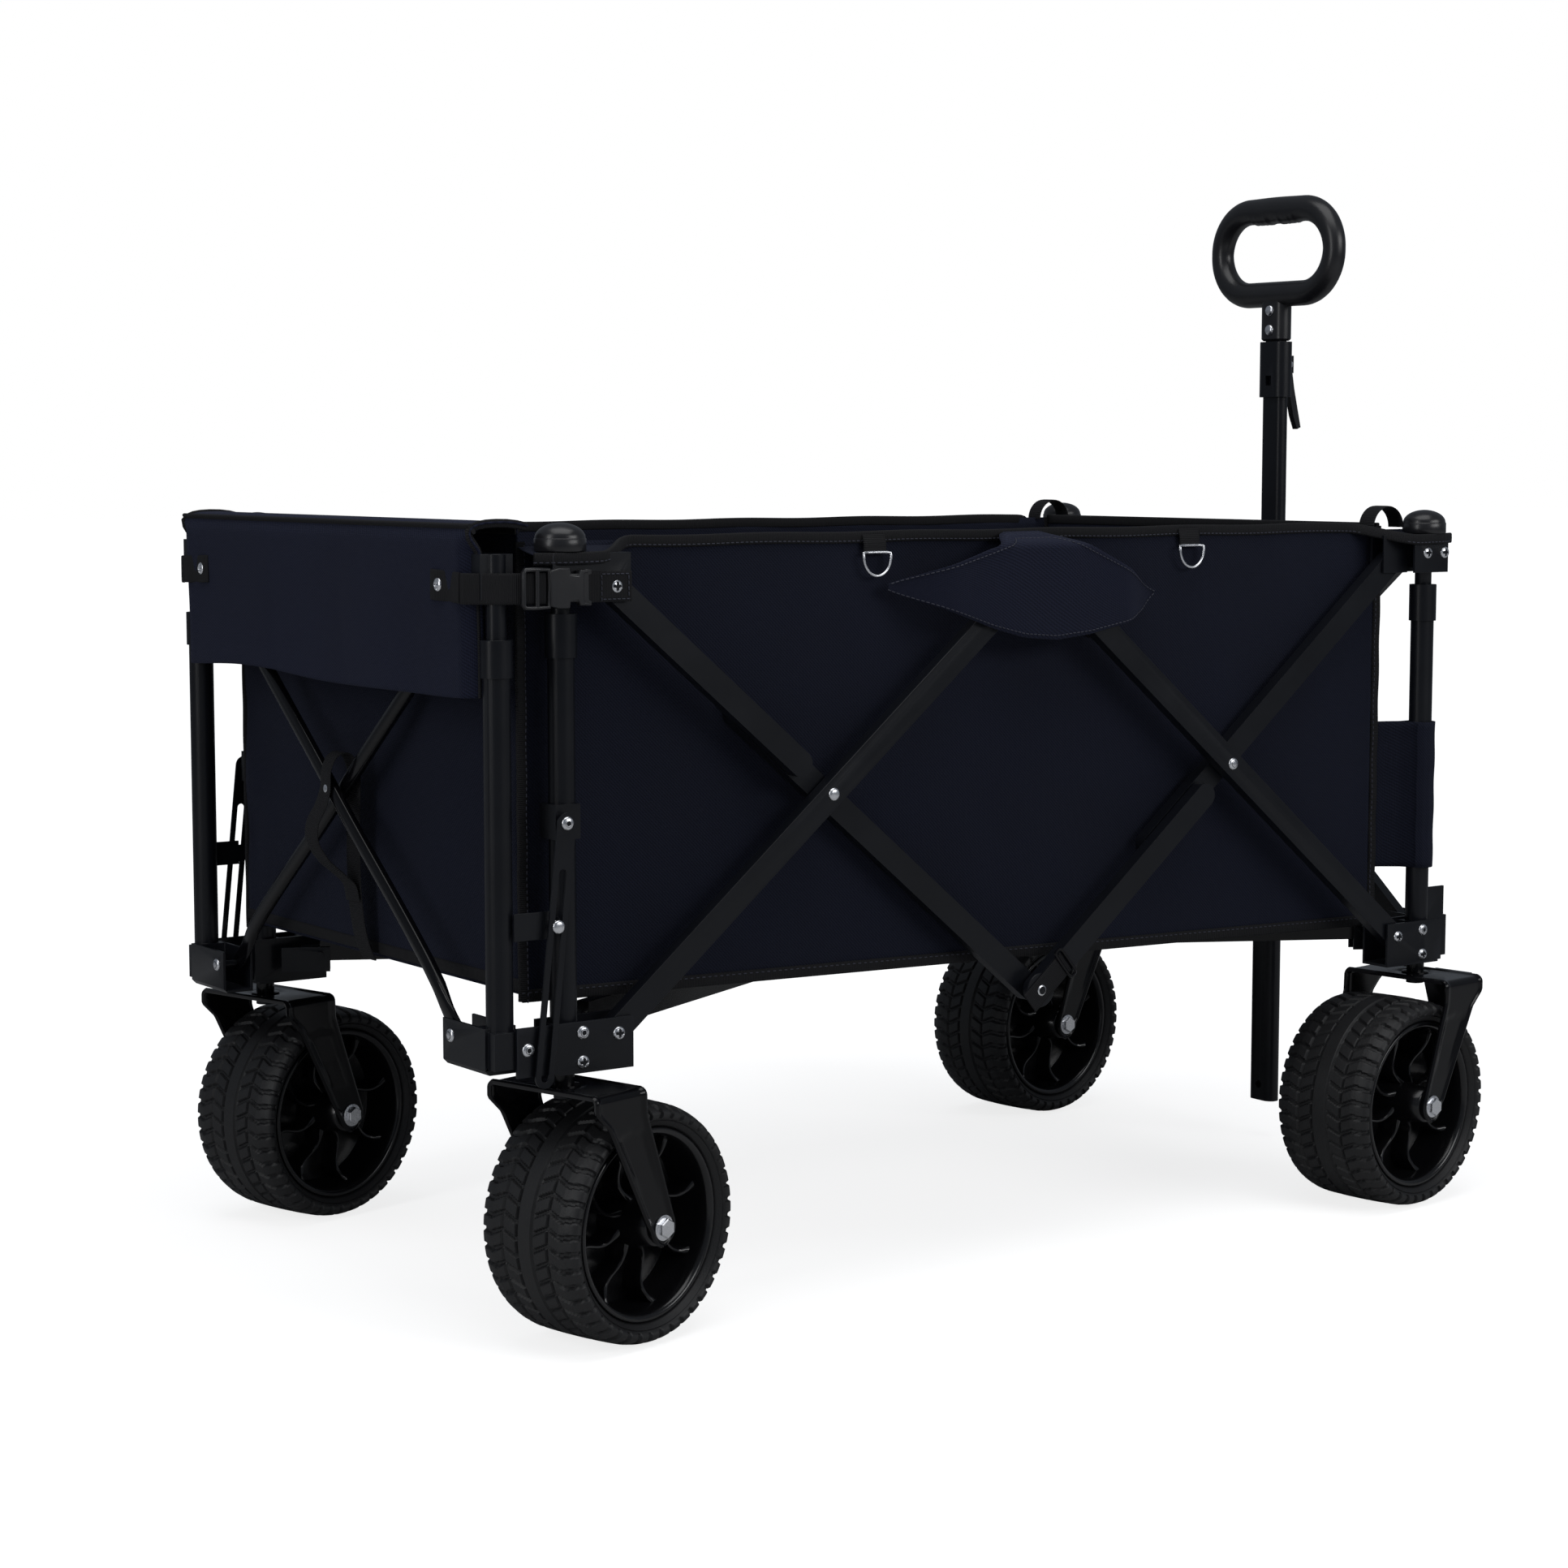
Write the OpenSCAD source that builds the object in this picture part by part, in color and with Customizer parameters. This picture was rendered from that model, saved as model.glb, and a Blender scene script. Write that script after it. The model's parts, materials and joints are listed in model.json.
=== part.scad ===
// Folding camp wagon: steel scissor frame, woven bag, hinged tailgate,
// four swivel wheels and a telescoping pull handle.
// X is the length (handle end is +X), Y the width (right side is -Y), Z up.
// Suffixes: r = right (-Y), l = left (+Y); first letter of a corner: r = rear, f = front.

/* [Frame] */
// distance between the front and rear post axes, mm
post_length = 974; // [700:1:1200]
// distance between the right and left post axes, mm
post_width = 540; // [400:1:700]
// height of the lower arm pivots above the ground, mm
pivot_low = 258; // [200:1:320]
// height between the lower and upper arm pivots when open, mm
pivot_rise = 360; // [280:1:420]
// distance from a post axis to the side arm pivot, mm
pivot_in_x = 42; // [30:1:60]
// distance from a post axis to the end arm pivot, mm
pivot_in_y = 53; // [40:1:70]
// height of a pinned joint at the middle of the side above its end pivots, mm
middle_offset = 9; // [0:1:20]

/* [Tubes] */
// outside diameter of the lower posts, mm
post_d = 22; // [16:1:30]
// outside diameter of the sliding upper posts, mm
slider_d = 16; // [12:1:24]
// height of an arm tube's face, mm
arm_h = 22; // [14:1:30]
// thickness of an arm tube, mm
arm_t = 12; // [6:1:16]
// thickness of the bracket sheet, mm
sheet_t = 2.5; // [1.5:0.1:4]
// diameter of the arm rivets, mm
rivet_d = 6; // [4:0.5:10]

/* [Wheels] */
// outside diameter of a tyre, mm
wheel_d = 200; // [150:1:260]
// width of a tyre, mm
wheel_w = 105; // [50:1:120]
// outside diameter of a rim, mm
rim_d = 160; // [120:1:200]
// distance from the swivel axis back to the axle, mm
trail = 52; // [30:1:70]
// angle the rear wheels are turned, degrees
yaw_rear = 15; // [-30:1:30]
// angle the front wheels are turned, degrees
yaw_front = 8; // [-30:1:30]
// number of spokes in a rim
spokes = 8; // [5:1:12]

/* [Bag] */
// height of the bag's rim, mm
rim_z = 655; // [500:1:750]
// height of the bag's hem at the rear, mm
hem_rear = 285; // [240:1:320]
// height of the bag's hem at the front, mm
hem_front = 266; // [240:1:320]
// thickness of the woven sheets, mm
cloth_t = 1.5; // [0.8:0.1:3]
// thickness of the floor boards, mm
floor_t = 4; // [2:0.5:10]
// height of the lower edge of the tailgate flap, mm
flap_low = 530; // [450:1:600]

/* [Tailgate] */
// distance of the tailgate hinge behind the rear posts, mm
hinge_back = 43; // [35:1:50]
// height of the tailgate hinge, mm
hinge_z = 253; // [245:1:260]
// distance of the tailgate posts behind the rear posts, mm
tail_back = 59; // [50:1:70]
// thickness of a tailgate arm, mm
tail_arm_t = 9.5; // [6:0.5:12]
// face height of a tailgate arm, mm
tail_arm_h = 14; // [10:1:20]

/* [Handle] */
// distance of the handle in front of the front posts, mm
handle_front = 60; // [50:1:80]
// height of the handle's tilt pivot, mm
handle_pivot_z = 240; // [200:1:280]
// height of the top of the grip, mm
grip_top = 986; // [850:1:1100]
// outside width of the grip loop, mm
grip_w = 190; // [140:1:230]
// outside height of the grip loop, mm
grip_h = 112; // [90:1:140]
// diameter of the grip bar, mm
grip_d = 26; // [18:1:34]

/* [Hidden] */
$fn = 48;
eps = 0.01;
Lp = post_length - 2 * pivot_in_x;
Wp = post_width - 2 * pivot_in_y;
alpha = atan(pivot_rise / Wp);
a = Wp / 2 / cos(alpha);
b = Lp / 2 / cos(alpha) - a;
pivot_high = pivot_low + pivot_rise;
plane = 7;                        // middle of an arm's plane, either side of the post axis
face = 14;                        // inside half width of a bracket
s_mid = a + b;
bolt_y = wheel_w / 2 + 4;         // inside face of a fork arm
low_z0 = 229;
low_z1 = 271;
top_z0 = 609;
top_z1 = 645;
fork_z = 218;
bag_y = post_width / 2 - 22.5;
bag_x0 = -post_length / 2 - 25;
bag_x1 = post_length / 2 - 40;
strut_u = 40;
strut_v = 36;
strut_len = 440;
stay_u = -8;
stay_z = 432;
lug_u = -17;
lug_z = 350;
stay_len0 = norm([stay_u - lug_u, stay_z - lug_z]);
stay_ang = atan((stay_u - lug_u) / (stay_z - lug_z));
handle_x = post_length / 2 + handle_front;
end_plane_f = 32;                 // front arm planes, ahead of the post axis
end_plane_b = 20;
black = [0.09, 0.09, 0.11];
gloss = [0.05, 0.05, 0.06];
cloth = [0.10, 0.11, 0.17];
zinc = [0.82, 0.83, 0.85];
rubber = [0.12, 0.12, 0.13];

// ---------- placing ----------

// A corner frame: its origin is the post axis, +x points to the wagon's middle
// along the length and +y to the middle along the width.
module corner(sx, sy)
  translate([sx * post_length / 2, sy * post_width / 2, 0])
    mirror([sx > 0 ? 1 : 0, 0, 0])
      mirror([0, sy > 0 ? 1 : 0, 0])
        children();

// A side frame: origin at the rear lower arm pivot on the post plane, x along the side.
module side(sy, from_front = false)
  translate([(from_front ? 1 : -1) * Lp / 2, sy * post_width / 2, 0])
    mirror([from_front ? 1 : 0, 0, 0])
      mirror([0, sy > 0 ? 1 : 0, 0])
        children();

// Turns a wheel set about its swivel axis.
module swivel(sx, sy)
  translate([sx * post_length / 2, sy * post_width / 2, 0])
    rotate([0, 0, sx < 0 ? yaw_rear : 180 + yaw_front])
      children();

// A rod along y from y0 to y1 at (x, z).
module rod_y(d, x, z, y0, y1)
  translate([x, y0, z]) rotate([-90, 0, 0]) cylinder(d = d, h = y1 - y0);

// A rod along x from x0 to x1 at (y, z).
module rod_x(d, y, z, x0, x1)
  translate([x0, y, z]) rotate([0, 90, 0]) cylinder(d = d, h = x1 - x0);

// A box given by its two corners.
module block(x0, x1, y0, y1, z0, z1)
  translate([x0, y0, z0]) cube([x1 - x0, y1 - y0, z1 - z0]);

// A flat bar with round ends lying along x from 0 to len, y0 to y1 thick.
module bar(len, h, y0, y1) {
  block(0, len, y0, y1, -h / 2, h / 2);
  rod_y(h, 0, 0, y0, y1);
  rod_y(h, len, 0, y0, y1);
}

// A rivet head: a low cone frustum along y, outward in direction s.
module head(x, y, z, s, d = 10.5, h = 2.4)
  translate([x, y, z]) rotate([s < 0 ? 90 : -90, 0, 0]) cylinder(d1 = d, d2 = d * 0.6, h = h);

// The same head along x.
module head_x(x, y, z, s, d = 10.5, h = 2.4)
  translate([x, y, z]) rotate([0, s < 0 ? -90 : 90, 0]) cylinder(d1 = d, d2 = d * 0.6, h = h);

// ---------- corners ----------

// Hinge lug pair that carries a floor strut.
module strut_clevis() {
  ang = atan((post_width / 2 - strut_v) / (post_length / 2 - strut_u));
  color(black)
    difference() {
      translate([strut_u, strut_v, 0])
        rotate([0, 0, ang]) {
          block(-36, 9, 6.4, 8.9, 240, 263);
          block(-18, 9, -8.9, -6.4, 240, 263);
          rod_y(5, 0, 256.5, -11, 11);
        }
      block(-80, 80, -80, face + 1, 200, 300);
    }
}

// Lower bracket, post with its sleeve, and the swivel pin.
module corner_part(rear) {
  u0 = rear ? -hinge_back - 10 : -18;
  color(black) {
    difference() {
      union() {
        block(u0, 56, -face - sheet_t, -face, low_z0 + 2, low_z1);
        block(-18, 56, face, face + sheet_t, low_z0 + 2, low_z1);
        block(-14, 56, -face - sheet_t, face + sheet_t, low_z0, low_z0 + sheet_t);
        block(-13, 14, -face - eps, face + eps, low_z0 + 1, low_z1 - 2);
        translate([0, 0, low_z0 + 1]) cylinder(d = post_d, h = 562 - low_z0 - 1 + eps);
        translate([0, 0, 562]) cylinder(d = 26, h = 35);
      }
      translate([0, 0, 280]) cylinder(d = slider_d + 1.2, h = 283);
      translate([0, 0, 562]) cylinder(d = slider_d + 0.6, h = 40);
    }
    translate([0, 0, 209]) cylinder(d = 10, h = 22);
    translate([0, 0, 207.6]) cylinder(d = 17, h = 6);
  }
  color(zinc) {
    rod_y(rivet_d, pivot_in_x, pivot_low, -face - 1, face + 1);
    head(pivot_in_x, -face - sheet_t, pivot_low, -1, 9.5);
    head(pivot_in_x, face + sheet_t, pivot_low, 1, 9.5, 1.2);
    head(8, -face - sheet_t, 262, -1, 10.5);
    head(8, -face - sheet_t, 238, -1, 9);
  }
  strut_clevis();
  if (rear) {
    color(zinc) {
      rod_y(rivet_d, -hinge_back, hinge_z, -face - 1, -9);
      head(-hinge_back, -face - sheet_t, hinge_z, -1, 10.5);
      rod_y(7.6, -hinge_back, hinge_z, -10.4, -8.6);
    }
    color(black)
      difference() {
        union() {
          block(-14, 9, -13.4, 11, stay_z - 14, stay_z + 14);
        }
        translate([0, 0, stay_z - 15]) cylinder(d = post_d - 1, h = 30);
      }
    color(zinc) {
      rod_y(rivet_d, stay_u, stay_z, -22, -13);
      rod_y(10, stay_u, stay_z, -19, -13.2);
      head(stay_u, -21.4, stay_z, -1, 10);
    }
  } else {
    color(black) {
      block(-42, -39.5, 0, 66, low_z0 + 2, low_z1);
      block(-13.5, -11, 0, 66, low_z0 + 2, low_z1);
      block(-42, -11, 0, sheet_t, low_z0 + 2, low_z1);
      block(-38, -14, 0, sheet_t, low_z1 - 1, 300);
      block(-42, -11, 0, 66, low_z0 + 2, low_z0 + 2 + sheet_t);
    }
    color(zinc) {
      rod_x(rivet_d, pivot_in_y, pivot_low, -40, -12);
      head(-27, 0, 250, -1, 10);
    }
  }
}

module corner_rr() corner(-1, -1) corner_part(true);
module corner_rl() corner(-1, 1) corner_part(true);
module corner_fr() corner(1, -1) corner_part(false);
module corner_fl() corner(1, 1) corner_part(false);

// Upper bracket with its sliding post and round cap.
module top_part(rear) {
  color(black) {
    translate([0, 0, 300]) cylinder(d = slider_d, h = top_z1 + 3 - 300);
    block(-14, 13, -face - eps, face + eps, top_z0 + 4, top_z1 - 1);
    if (rear) {
      block(-16.5, 56, -face - sheet_t, -face, top_z0, top_z1);
      block(-16.5, 56, face, face + sheet_t, top_z0, top_z1);
      block(-16.5, 56, -face - sheet_t, face + sheet_t, top_z1 - sheet_t, top_z1);
    } else {
      block(-16.5, 29, -face - sheet_t, -face, top_z0, top_z1);
      block(-16.5, 56, face, face + sheet_t, top_z0, top_z1);
      block(24, 56, -2, 0, top_z0, top_z1);
      block(-16.5, 29, -face - sheet_t, face + sheet_t, top_z1 - sheet_t, top_z1);
      block(24, 56, -2, face + sheet_t, top_z1 - sheet_t, top_z1);
      block(-42, -39.5, 18, 66, top_z0, top_z1);
      block(-13.5, -11, 14, 66, top_z0, top_z1);
      block(-42, -11, 14, 66, top_z1 - sheet_t, top_z1);
    }
  }
  color(gloss) {
    translate([0, 0, top_z1 + 2]) cylinder(d = 41, h = 8);
    translate([0, 0, top_z1 + 10])
      intersection() {
        cylinder(d = 41, h = 13);
        translate([0, 0, 13 - 23]) sphere(r = 23, $fn = 96);
      }
  }
  color(zinc) {
    if (rear) {
      rod_y(rivet_d, pivot_in_x, pivot_high, -face - 1, face + 1);
      head(pivot_in_x, -face - sheet_t, pivot_high, -1, 9.5);
    } else {
      rod_y(rivet_d, pivot_in_x, pivot_high, -1, face + 1);
      rod_x(rivet_d, pivot_in_y, pivot_high, -40, -12);
      head(12, -face - sheet_t, 628, -1, 9.5);
      head(-11, -face - sheet_t, 628, -1, 9.5);
    }
  }
}

module top_rr() corner(-1, -1) top_part(true);
module top_rl() corner(-1, 1) top_part(true);
module top_fr() corner(1, -1) top_part(false);
module top_fl() corner(1, 1) top_part(false);

// ---------- wheels ----------

// One arm plate of a fork, in its own plane.
module fork_arm(y0, y1)
  translate([0, y1, 0])
    rotate([90, 0, 0])
      linear_extrude(y1 - y0)
        difference() {
          union() {
            polygon([[-26, fork_z], [32, fork_z], [34, 196], [trail + 14.4, 104],
                     [trail - 13.5, 93], [-12, 190], [-27, 204]]);
            translate([trail, wheel_d / 2]) circle(r = 15);
          }
          translate([trail, wheel_d / 2]) circle(d = 8.2);
        }

// Fork with its bearing stack and axle bolt; braked forks carry pedal ears.
module fork_part(braked) {
  color(black) {
    difference() {
      union() {
        block(-27, 33, -bolt_y - 3.5, bolt_y + 3.5, fork_z - 4, fork_z);
        translate([0, 0, fork_z - eps]) cylinder(d = 26, h = 3);
        translate([0, 0, fork_z + 2]) cylinder(d = 17, h = 8.4);
      }
      translate([0, 0, 200]) cylinder(d = 10.6, h = 40);
    }
    fork_arm(-bolt_y - 3.5, -bolt_y);
    fork_arm(bolt_y, bolt_y + 3.5);
    if (braked)
      for (s = [-1, 1])
        difference() {
          block(-44, -26.9, s * 24 - 1.5, s * 24 + 1.5, fork_z - 16, fork_z);
          rod_y(4.2, -39, 209, -40, 40);
        }
  }
  color(zinc) {
    rod_y(8, trail, wheel_d / 2, -bolt_y - 5, bolt_y + 5);
    for (s = [-1, 1])
      translate([trail, s * (bolt_y + 3.5), wheel_d / 2])
        rotate([s < 0 ? 90 : -90, 0, 0])
          cylinder(d = 14.5, h = 5.5, $fn = 6);
  }
}

module fork_rr() swivel(-1, -1) fork_part(false);
module fork_rl() swivel(-1, 1) fork_part(false);
module fork_fr() swivel(1, -1) fork_part(true);
module fork_fl() swivel(1, 1) fork_part(true);

// Tyre: a round-shouldered band over the rim.
module tyre_part()
  translate([trail, 0, wheel_d / 2])
    rotate([90, 0, 0])
      color(rubber)
        rotate_extrude($fn = 96)
          polygon([[rim_d / 2 + 0.2, -44], [86, -50], [92, -52.5], [96, -48], [98.6, -38],
                   [99.6, -22], [100, 0], [99.6, 22], [98.6, 38], [96, 48], [92, 52.5],
                   [86, 50], [rim_d / 2 + 0.2, 44]]);

module tyre_rr() swivel(-1, -1) tyre_part();
module tyre_rl() swivel(-1, 1) tyre_part();
module tyre_fr() swivel(1, -1) tyre_part();
module tyre_fl() swivel(1, 1) tyre_part();

// Rim: barrel with a closed middle disc, a hub and thin ribs on both faces.
module rim_part()
  translate([trail, 0, wheel_d / 2])
    rotate([90, 0, 0])
      color(black)
        difference() {
          union() {
            difference() {
              cylinder(d = rim_d, h = 92, center = true, $fn = 96);
              for (z = [-47, 4])
                translate([0, 0, z]) cylinder(d = rim_d - 12, h = 43, $fn = 96);
            }
            cylinder(d = 44, h = 2 * bolt_y - 1.2, center = true);
            for (s = [0 : spokes - 1])
              rotate([0, 0, 360 * s / spokes])
                translate([15, -2, -30]) cube([60, 4, 60]);
          }
          cylinder(d = 8.6, h = 140, center = true);
        }

module rim_rr() swivel(-1, -1) rim_part();
module rim_rl() swivel(-1, 1) rim_part();
module rim_fr() swivel(1, -1) rim_part();
module rim_fl() swivel(1, 1) rim_part();

// Foot pedal with a shoe that swings down to the tyre.
module brake_part() {
  color(black) {
    difference() {
      block(-66, -35, -21, 21, 206, 212);
      block(-60, -50, -12, 12, 200, 220);
    }
    translate([-39, 0, 209])
      rotate([0, 20, 0])
        block(-3, 1, -18, 18, -44, 0);
  }
  color(zinc) rod_y(4, -39, 209, -26, 26);
}

module brake_fr() swivel(1, -1) brake_part();
module brake_fl() swivel(1, 1) brake_part();

// ---------- side arms ----------
// In a side frame the outer plane is -13..-1 and the inner plane 1..13.

module outer_bar(s0, s1)
  translate([s0, 0, 0]) bar(s1 - s0, arm_h, -plane - arm_t / 2, -plane + arm_t / 2);

module inner_bar(s0, s1)
  translate([s0, 0, 0]) bar(s1 - s0, arm_h, plane - arm_t / 2, plane + arm_t / 2);

module hole(s) rod_y(rivet_d + 0.5, s, 0, -20, 20);

// Rising arm from a rear lower pivot, in the outer plane all the way.
module arm_a1(sy)
  side(sy) translate([0, 0, pivot_low]) rotate([0, -alpha, 0]) {
    color(black)
      difference() {
        outer_bar(0, s_mid);
        hole(0);
      }
    color(zinc)
      for (s = [a, s_mid]) {
        rod_y(rivet_d, s, 0, -plane, s == a ? 13.4 : 6.6);
        head(s, -13, 0, -1);
        rod_y(10, s, 0, s == a ? 13.3 : 6.5, s == a ? 15 : 8);
      }
  }

// Falling arm from a rear upper pivot: outer tube lapped onto an inner tube.
module arm_b1(sy)
  side(sy) translate([0, 0, pivot_high]) rotate([0, alpha, 0]) {
    color(black)
      difference() {
        union() {
          outer_bar(0, a - 43);
          inner_bar(a - 110, s_mid);
          block(a - 108, a - 48, -1.5, 1.5, -9, 9);
        }
        hole(0);
        rod_y(rivet_d + 0.5, a, 0, -2, 20);
      }
    color(zinc) {
      rod_y(rivet_d, s_mid, 0, -13.4, plane);
      head(s_mid, -13.3, 0, -1);
    }
  }

// Rising arm from a front lower pivot, with a thin tongue to the middle joint.
module arm_a2(sy)
  side(sy, true) translate([0, 0, pivot_low]) rotate([0, -alpha, 0]) {
    color(black)
      difference() {
        union() {
          outer_bar(0, s_mid - 46);
          translate([s_mid - 90, 0, 0]) bar(90, arm_h, 1.2, 6);
          block(s_mid - 88, s_mid - 48, -1.5, 1.5, -9, 9);
        }
        hole(0);
        hole(s_mid);
      }
    color(zinc) {
      rod_y(rivet_d, a, 0, -plane, 13.4);
      head(a, -13, 0, -1);
      rod_y(10, a, 0, 13.3, 15);
    }
  }

// Falling arm from a front upper pivot: inner tube lapped onto an outer tube.
module arm_b2(sy)
  side(sy, true) translate([0, 0, pivot_high]) rotate([0, alpha, 0])
    color(black)
      difference() {
        union() {
          inner_bar(0, a + 110);
          outer_bar(a + 43, s_mid);
          block(a + 48, a + 108, -1.5, 1.5, -9, 9);
        }
        hole(0);
        hole(a);
        hole(s_mid);
      }

module arm_a1_r() arm_a1(-1);
module arm_b1_r() arm_b1(-1);
module arm_a2_r() arm_a2(-1);
module arm_b2_r() arm_b2(-1);
module arm_a1_l() arm_a1(1);
module arm_b1_l() arm_b1(1);
module arm_a2_l() arm_a2(1);
module arm_b2_l() arm_b2(1);

// ---------- end arms ----------

// A crossed end arm: sy is the side of its lower pivot, x0 the back of its plane.
module end_arm(x, sy, x0, t, h, pin)
  translate([x, sy * Wp / 2, pivot_low])
    rotate([0, 0, -sy * 90])
      rotate([0, -alpha, 0])
        difference() {
          translate([0, sy > 0 ? x0 : -x0 - t, 0]) bar(2 * a, h, 0, t);
          rod_y(rivet_d + 0.5, 0, 0, -60, 60);
          rod_y(rivet_d + 0.5, 2 * a, 0, -60, 60);
          if (!pin) rod_y(rivet_d + 0.5, a, 0, -60, 60);
        }

// Front cross, nearer the handle: right lower corner to left upper corner.
module front_arm_1() {
  x = post_length / 2;
  color(gloss) end_arm(x, -1, end_plane_f - 5.5, 11, 20, true);
  color(zinc) {
    rod_x(rivet_d, 0, pivot_low + pivot_rise / 2, x + 12, x + 44);
    head_x(x + 12.2, 0, pivot_low + pivot_rise / 2, -1, 10, 2);
  }
}

// Front cross, nearer the bag: left lower corner to right upper corner.
module front_arm_2()
  color(gloss) end_arm(post_length / 2, 1, end_plane_b - 5.5, 11, 20, false);

// Tailgate cross, outer bar: right lower corner to left upper corner.
module tail_arm_1() {
  x = -post_length / 2 - tail_back;
  color(gloss) end_arm(x, -1, -10.7, tail_arm_t, tail_arm_h, true);
  color(zinc) {
    rod_x(rivet_d, 0, pivot_low + pivot_rise / 2, x - 10.8, x + 11.6);
    head_x(x - 10.7, 0, pivot_low + pivot_rise / 2, -1, 11);
    rod_x(10, 0, pivot_low + pivot_rise / 2, x + 11.2, x + 12.8);
  }
}

// Tailgate cross, inner bar: left lower corner to right upper corner.
module tail_arm_2()
  color(gloss) end_arm(-post_length / 2 - tail_back, 1, 1.2, tail_arm_t, tail_arm_h, false);

// ---------- tailgate ----------

// Lower tailgate bracket with its post, hinge ear and stay lug.
module tail_post_part() {
  color(black) {
    translate([-tail_back, 0, 0]) {
      difference() {
        union() {
          block(-14.7, -12.2, -2, 66, 233, low_z1);
          block(12.2, 14.7, 0, 66, 233, low_z1);
          block(-14.7, 14.7, -2, 66, 233, 233 + sheet_t);
          block(-12.3, 12.3, -2, 13, 234, low_z1);
          translate([0, 0, 240]) cylinder(d = post_d, h = 320);
          translate([0, 0, 548]) cylinder(d = 26, h = 30);
        }
        translate([0, 0, 280]) cylinder(d = slider_d + 1, h = 310);
        rod_x(rivet_d + 0.5, pivot_in_y, pivot_low, -11, 11);
        translate([-14.7, 30, 233]) rotate([0, 45, 0]) cube([5.7, 90, 5.7], center = true);
      }
    }
    difference() {
      union() {
        block(-tail_back, -hinge_back, -13.2, -10.9, 238, 268);
        rod_y(20, -hinge_back, hinge_z, -13.2, -10.9);
        block(-tail_back - 12, -tail_back + 12, -13.2, -1.9, 238, 268);
        block(-tail_back + 6, lug_u - 2, -13.6, -11.6, lug_z - 10, lug_z + 12);
        rod_y(16, lug_u, lug_z, -13.6, -11.6);
      }
      rod_y(rivet_d + 0.5, -hinge_back, hinge_z, -20, -5);
      translate([-tail_back, 0, 280]) cylinder(d = slider_d + 1, h = 310);
    }
  }
  color(zinc) translate([-tail_back, 0, 0]) {
    rod_x(rivet_d, pivot_in_y, pivot_low, -13, 13);
    head_x(-14.7, pivot_in_y, pivot_low, -1, 11);
  }
}

module tail_post_r() corner(-1, -1) tail_post_part();
module tail_post_l() corner(-1, 1) tail_post_part();

// Sliding upper tailgate post with the upper arm bracket.
module tail_top_part() {
  color(black) translate([-tail_back, 0, 0]) {
    translate([0, 0, 300]) cylinder(d = slider_d, h = 345);
    block(-14.7, -12.2, -2, 66, top_z0, top_z1);
    block(12.2, 14.7, -2, 66, top_z0, top_z1);
    block(-14.7, 14.7, -2, 66, top_z1 - sheet_t, top_z1);
    block(-12.3, 12.3, -2, 12, top_z0 + 4, top_z1);
  }
  color(zinc) rod_x(rivet_d, pivot_in_y, pivot_high, -tail_back - 13, -tail_back + 13);
}

module tail_top_r() corner(-1, -1) tail_top_part();
module tail_top_l() corner(-1, 1) tail_top_part();

// Slotted stay link between a rear post and the tailgate.
module stay_part()
  color(black)
    translate([stay_u, 0, stay_z])
      rotate([0, 90 + stay_ang, 0])
        difference() {
          bar(203.5, 17, -21.2, -19.2);
          rod_y(rivet_d + 0.5, 0, 0, -25, -10);
          block(40, 203.5, -25, -10, -3.4, 3.4);
          rod_y(6.8, 40, 0, -25, -10);
          rod_y(6.8, 203.5, 0, -25, -10);
        }

module stay_r() corner(-1, -1) stay_part();
module stay_l() corner(-1, 1) stay_part();

// Rivet that runs in the stay's slot.
module stay_pin_part()
  color(zinc) {
    rod_y(6, lug_u, lug_z, -22, -13.8);
    rod_y(10, lug_u, lug_z, -19, -13.8);
    head(lug_u, -21.4, lug_z, -1, 10);
  }

module stay_pin_r() corner(-1, -1) stay_pin_part();
module stay_pin_l() corner(-1, 1) stay_pin_part();

// ---------- floor ----------

// Tall flat floor strut from a corner toward the middle.
module strut_part() {
  ang = atan((post_width / 2 - strut_v) / (post_length / 2 - strut_u));
  color(gloss)
    translate([strut_u, strut_v, 256.5])
      rotate([0, 0, ang])
        difference() {
          union() {
            block(0, strut_len, -6, 6, -6.5, 20.5);
            rod_y(13, 0, 0, -6, 6);
            translate([strut_len, 0, -6.5]) cylinder(d = 12, h = 27);
          }
          rod_y(5.5, 0, 0, -20, 20);
          translate([0, 0, 13]) rotate([0, -45, 0]) block(-30, -6.5, -8, 8, -20, 30);
        }
}

module strut_rr() corner(-1, -1) strut_part();
module strut_rl() corner(-1, 1) strut_part();
module strut_fr() corner(1, -1) strut_part();
module strut_fl() corner(1, 1) strut_part();

// Half of the cargo floor.
module floor_part(sy)
  color(cloth)
    mirror([0, sy > 0 ? 1 : 0, 0]) {
      block(bag_x0 + 4, bag_x1 - 2, -bag_y + 2.5, -0.6, 287, 287 + floor_t);
      rod_x(floor_t, -bag_y + 2.5, 287 + floor_t / 2, bag_x0 + 4, bag_x1 - 2);
    }

module floor_r() floor_part(-1);
module floor_l() floor_part(1);

// ---------- bag ----------

// Side sheet with a leaf flap folded over the middle joint.
module side_panel_part(sy)
  mirror([0, sy > 0 ? 1 : 0, 0])
    color(cloth) {
      translate([0, -bag_y, 0])
        rotate([90, 0, 0])
          linear_extrude(cloth_t)
            polygon([[bag_x0, hem_rear], [bag_x1, hem_front], [bag_x1, rim_z], [bag_x0, rim_z]]);
      translate([0, -post_width / 2 - 17.5, 0])
        rotate([90, 0, 0])
          linear_extrude(cloth_t)
            polygon([[-155, 610], [-12, rim_z + 1], [18, rim_z + 1], [138, 604],
                     [100, 578], [60, 566], [0, 560], [-60, 572]]);
      block(-12, 18, -post_width / 2 - 17.6, -bag_y, rim_z - 0.5, rim_z + 1);
    }

module side_panel_r() side_panel_part(-1);
module side_panel_l() side_panel_part(1);

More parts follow.
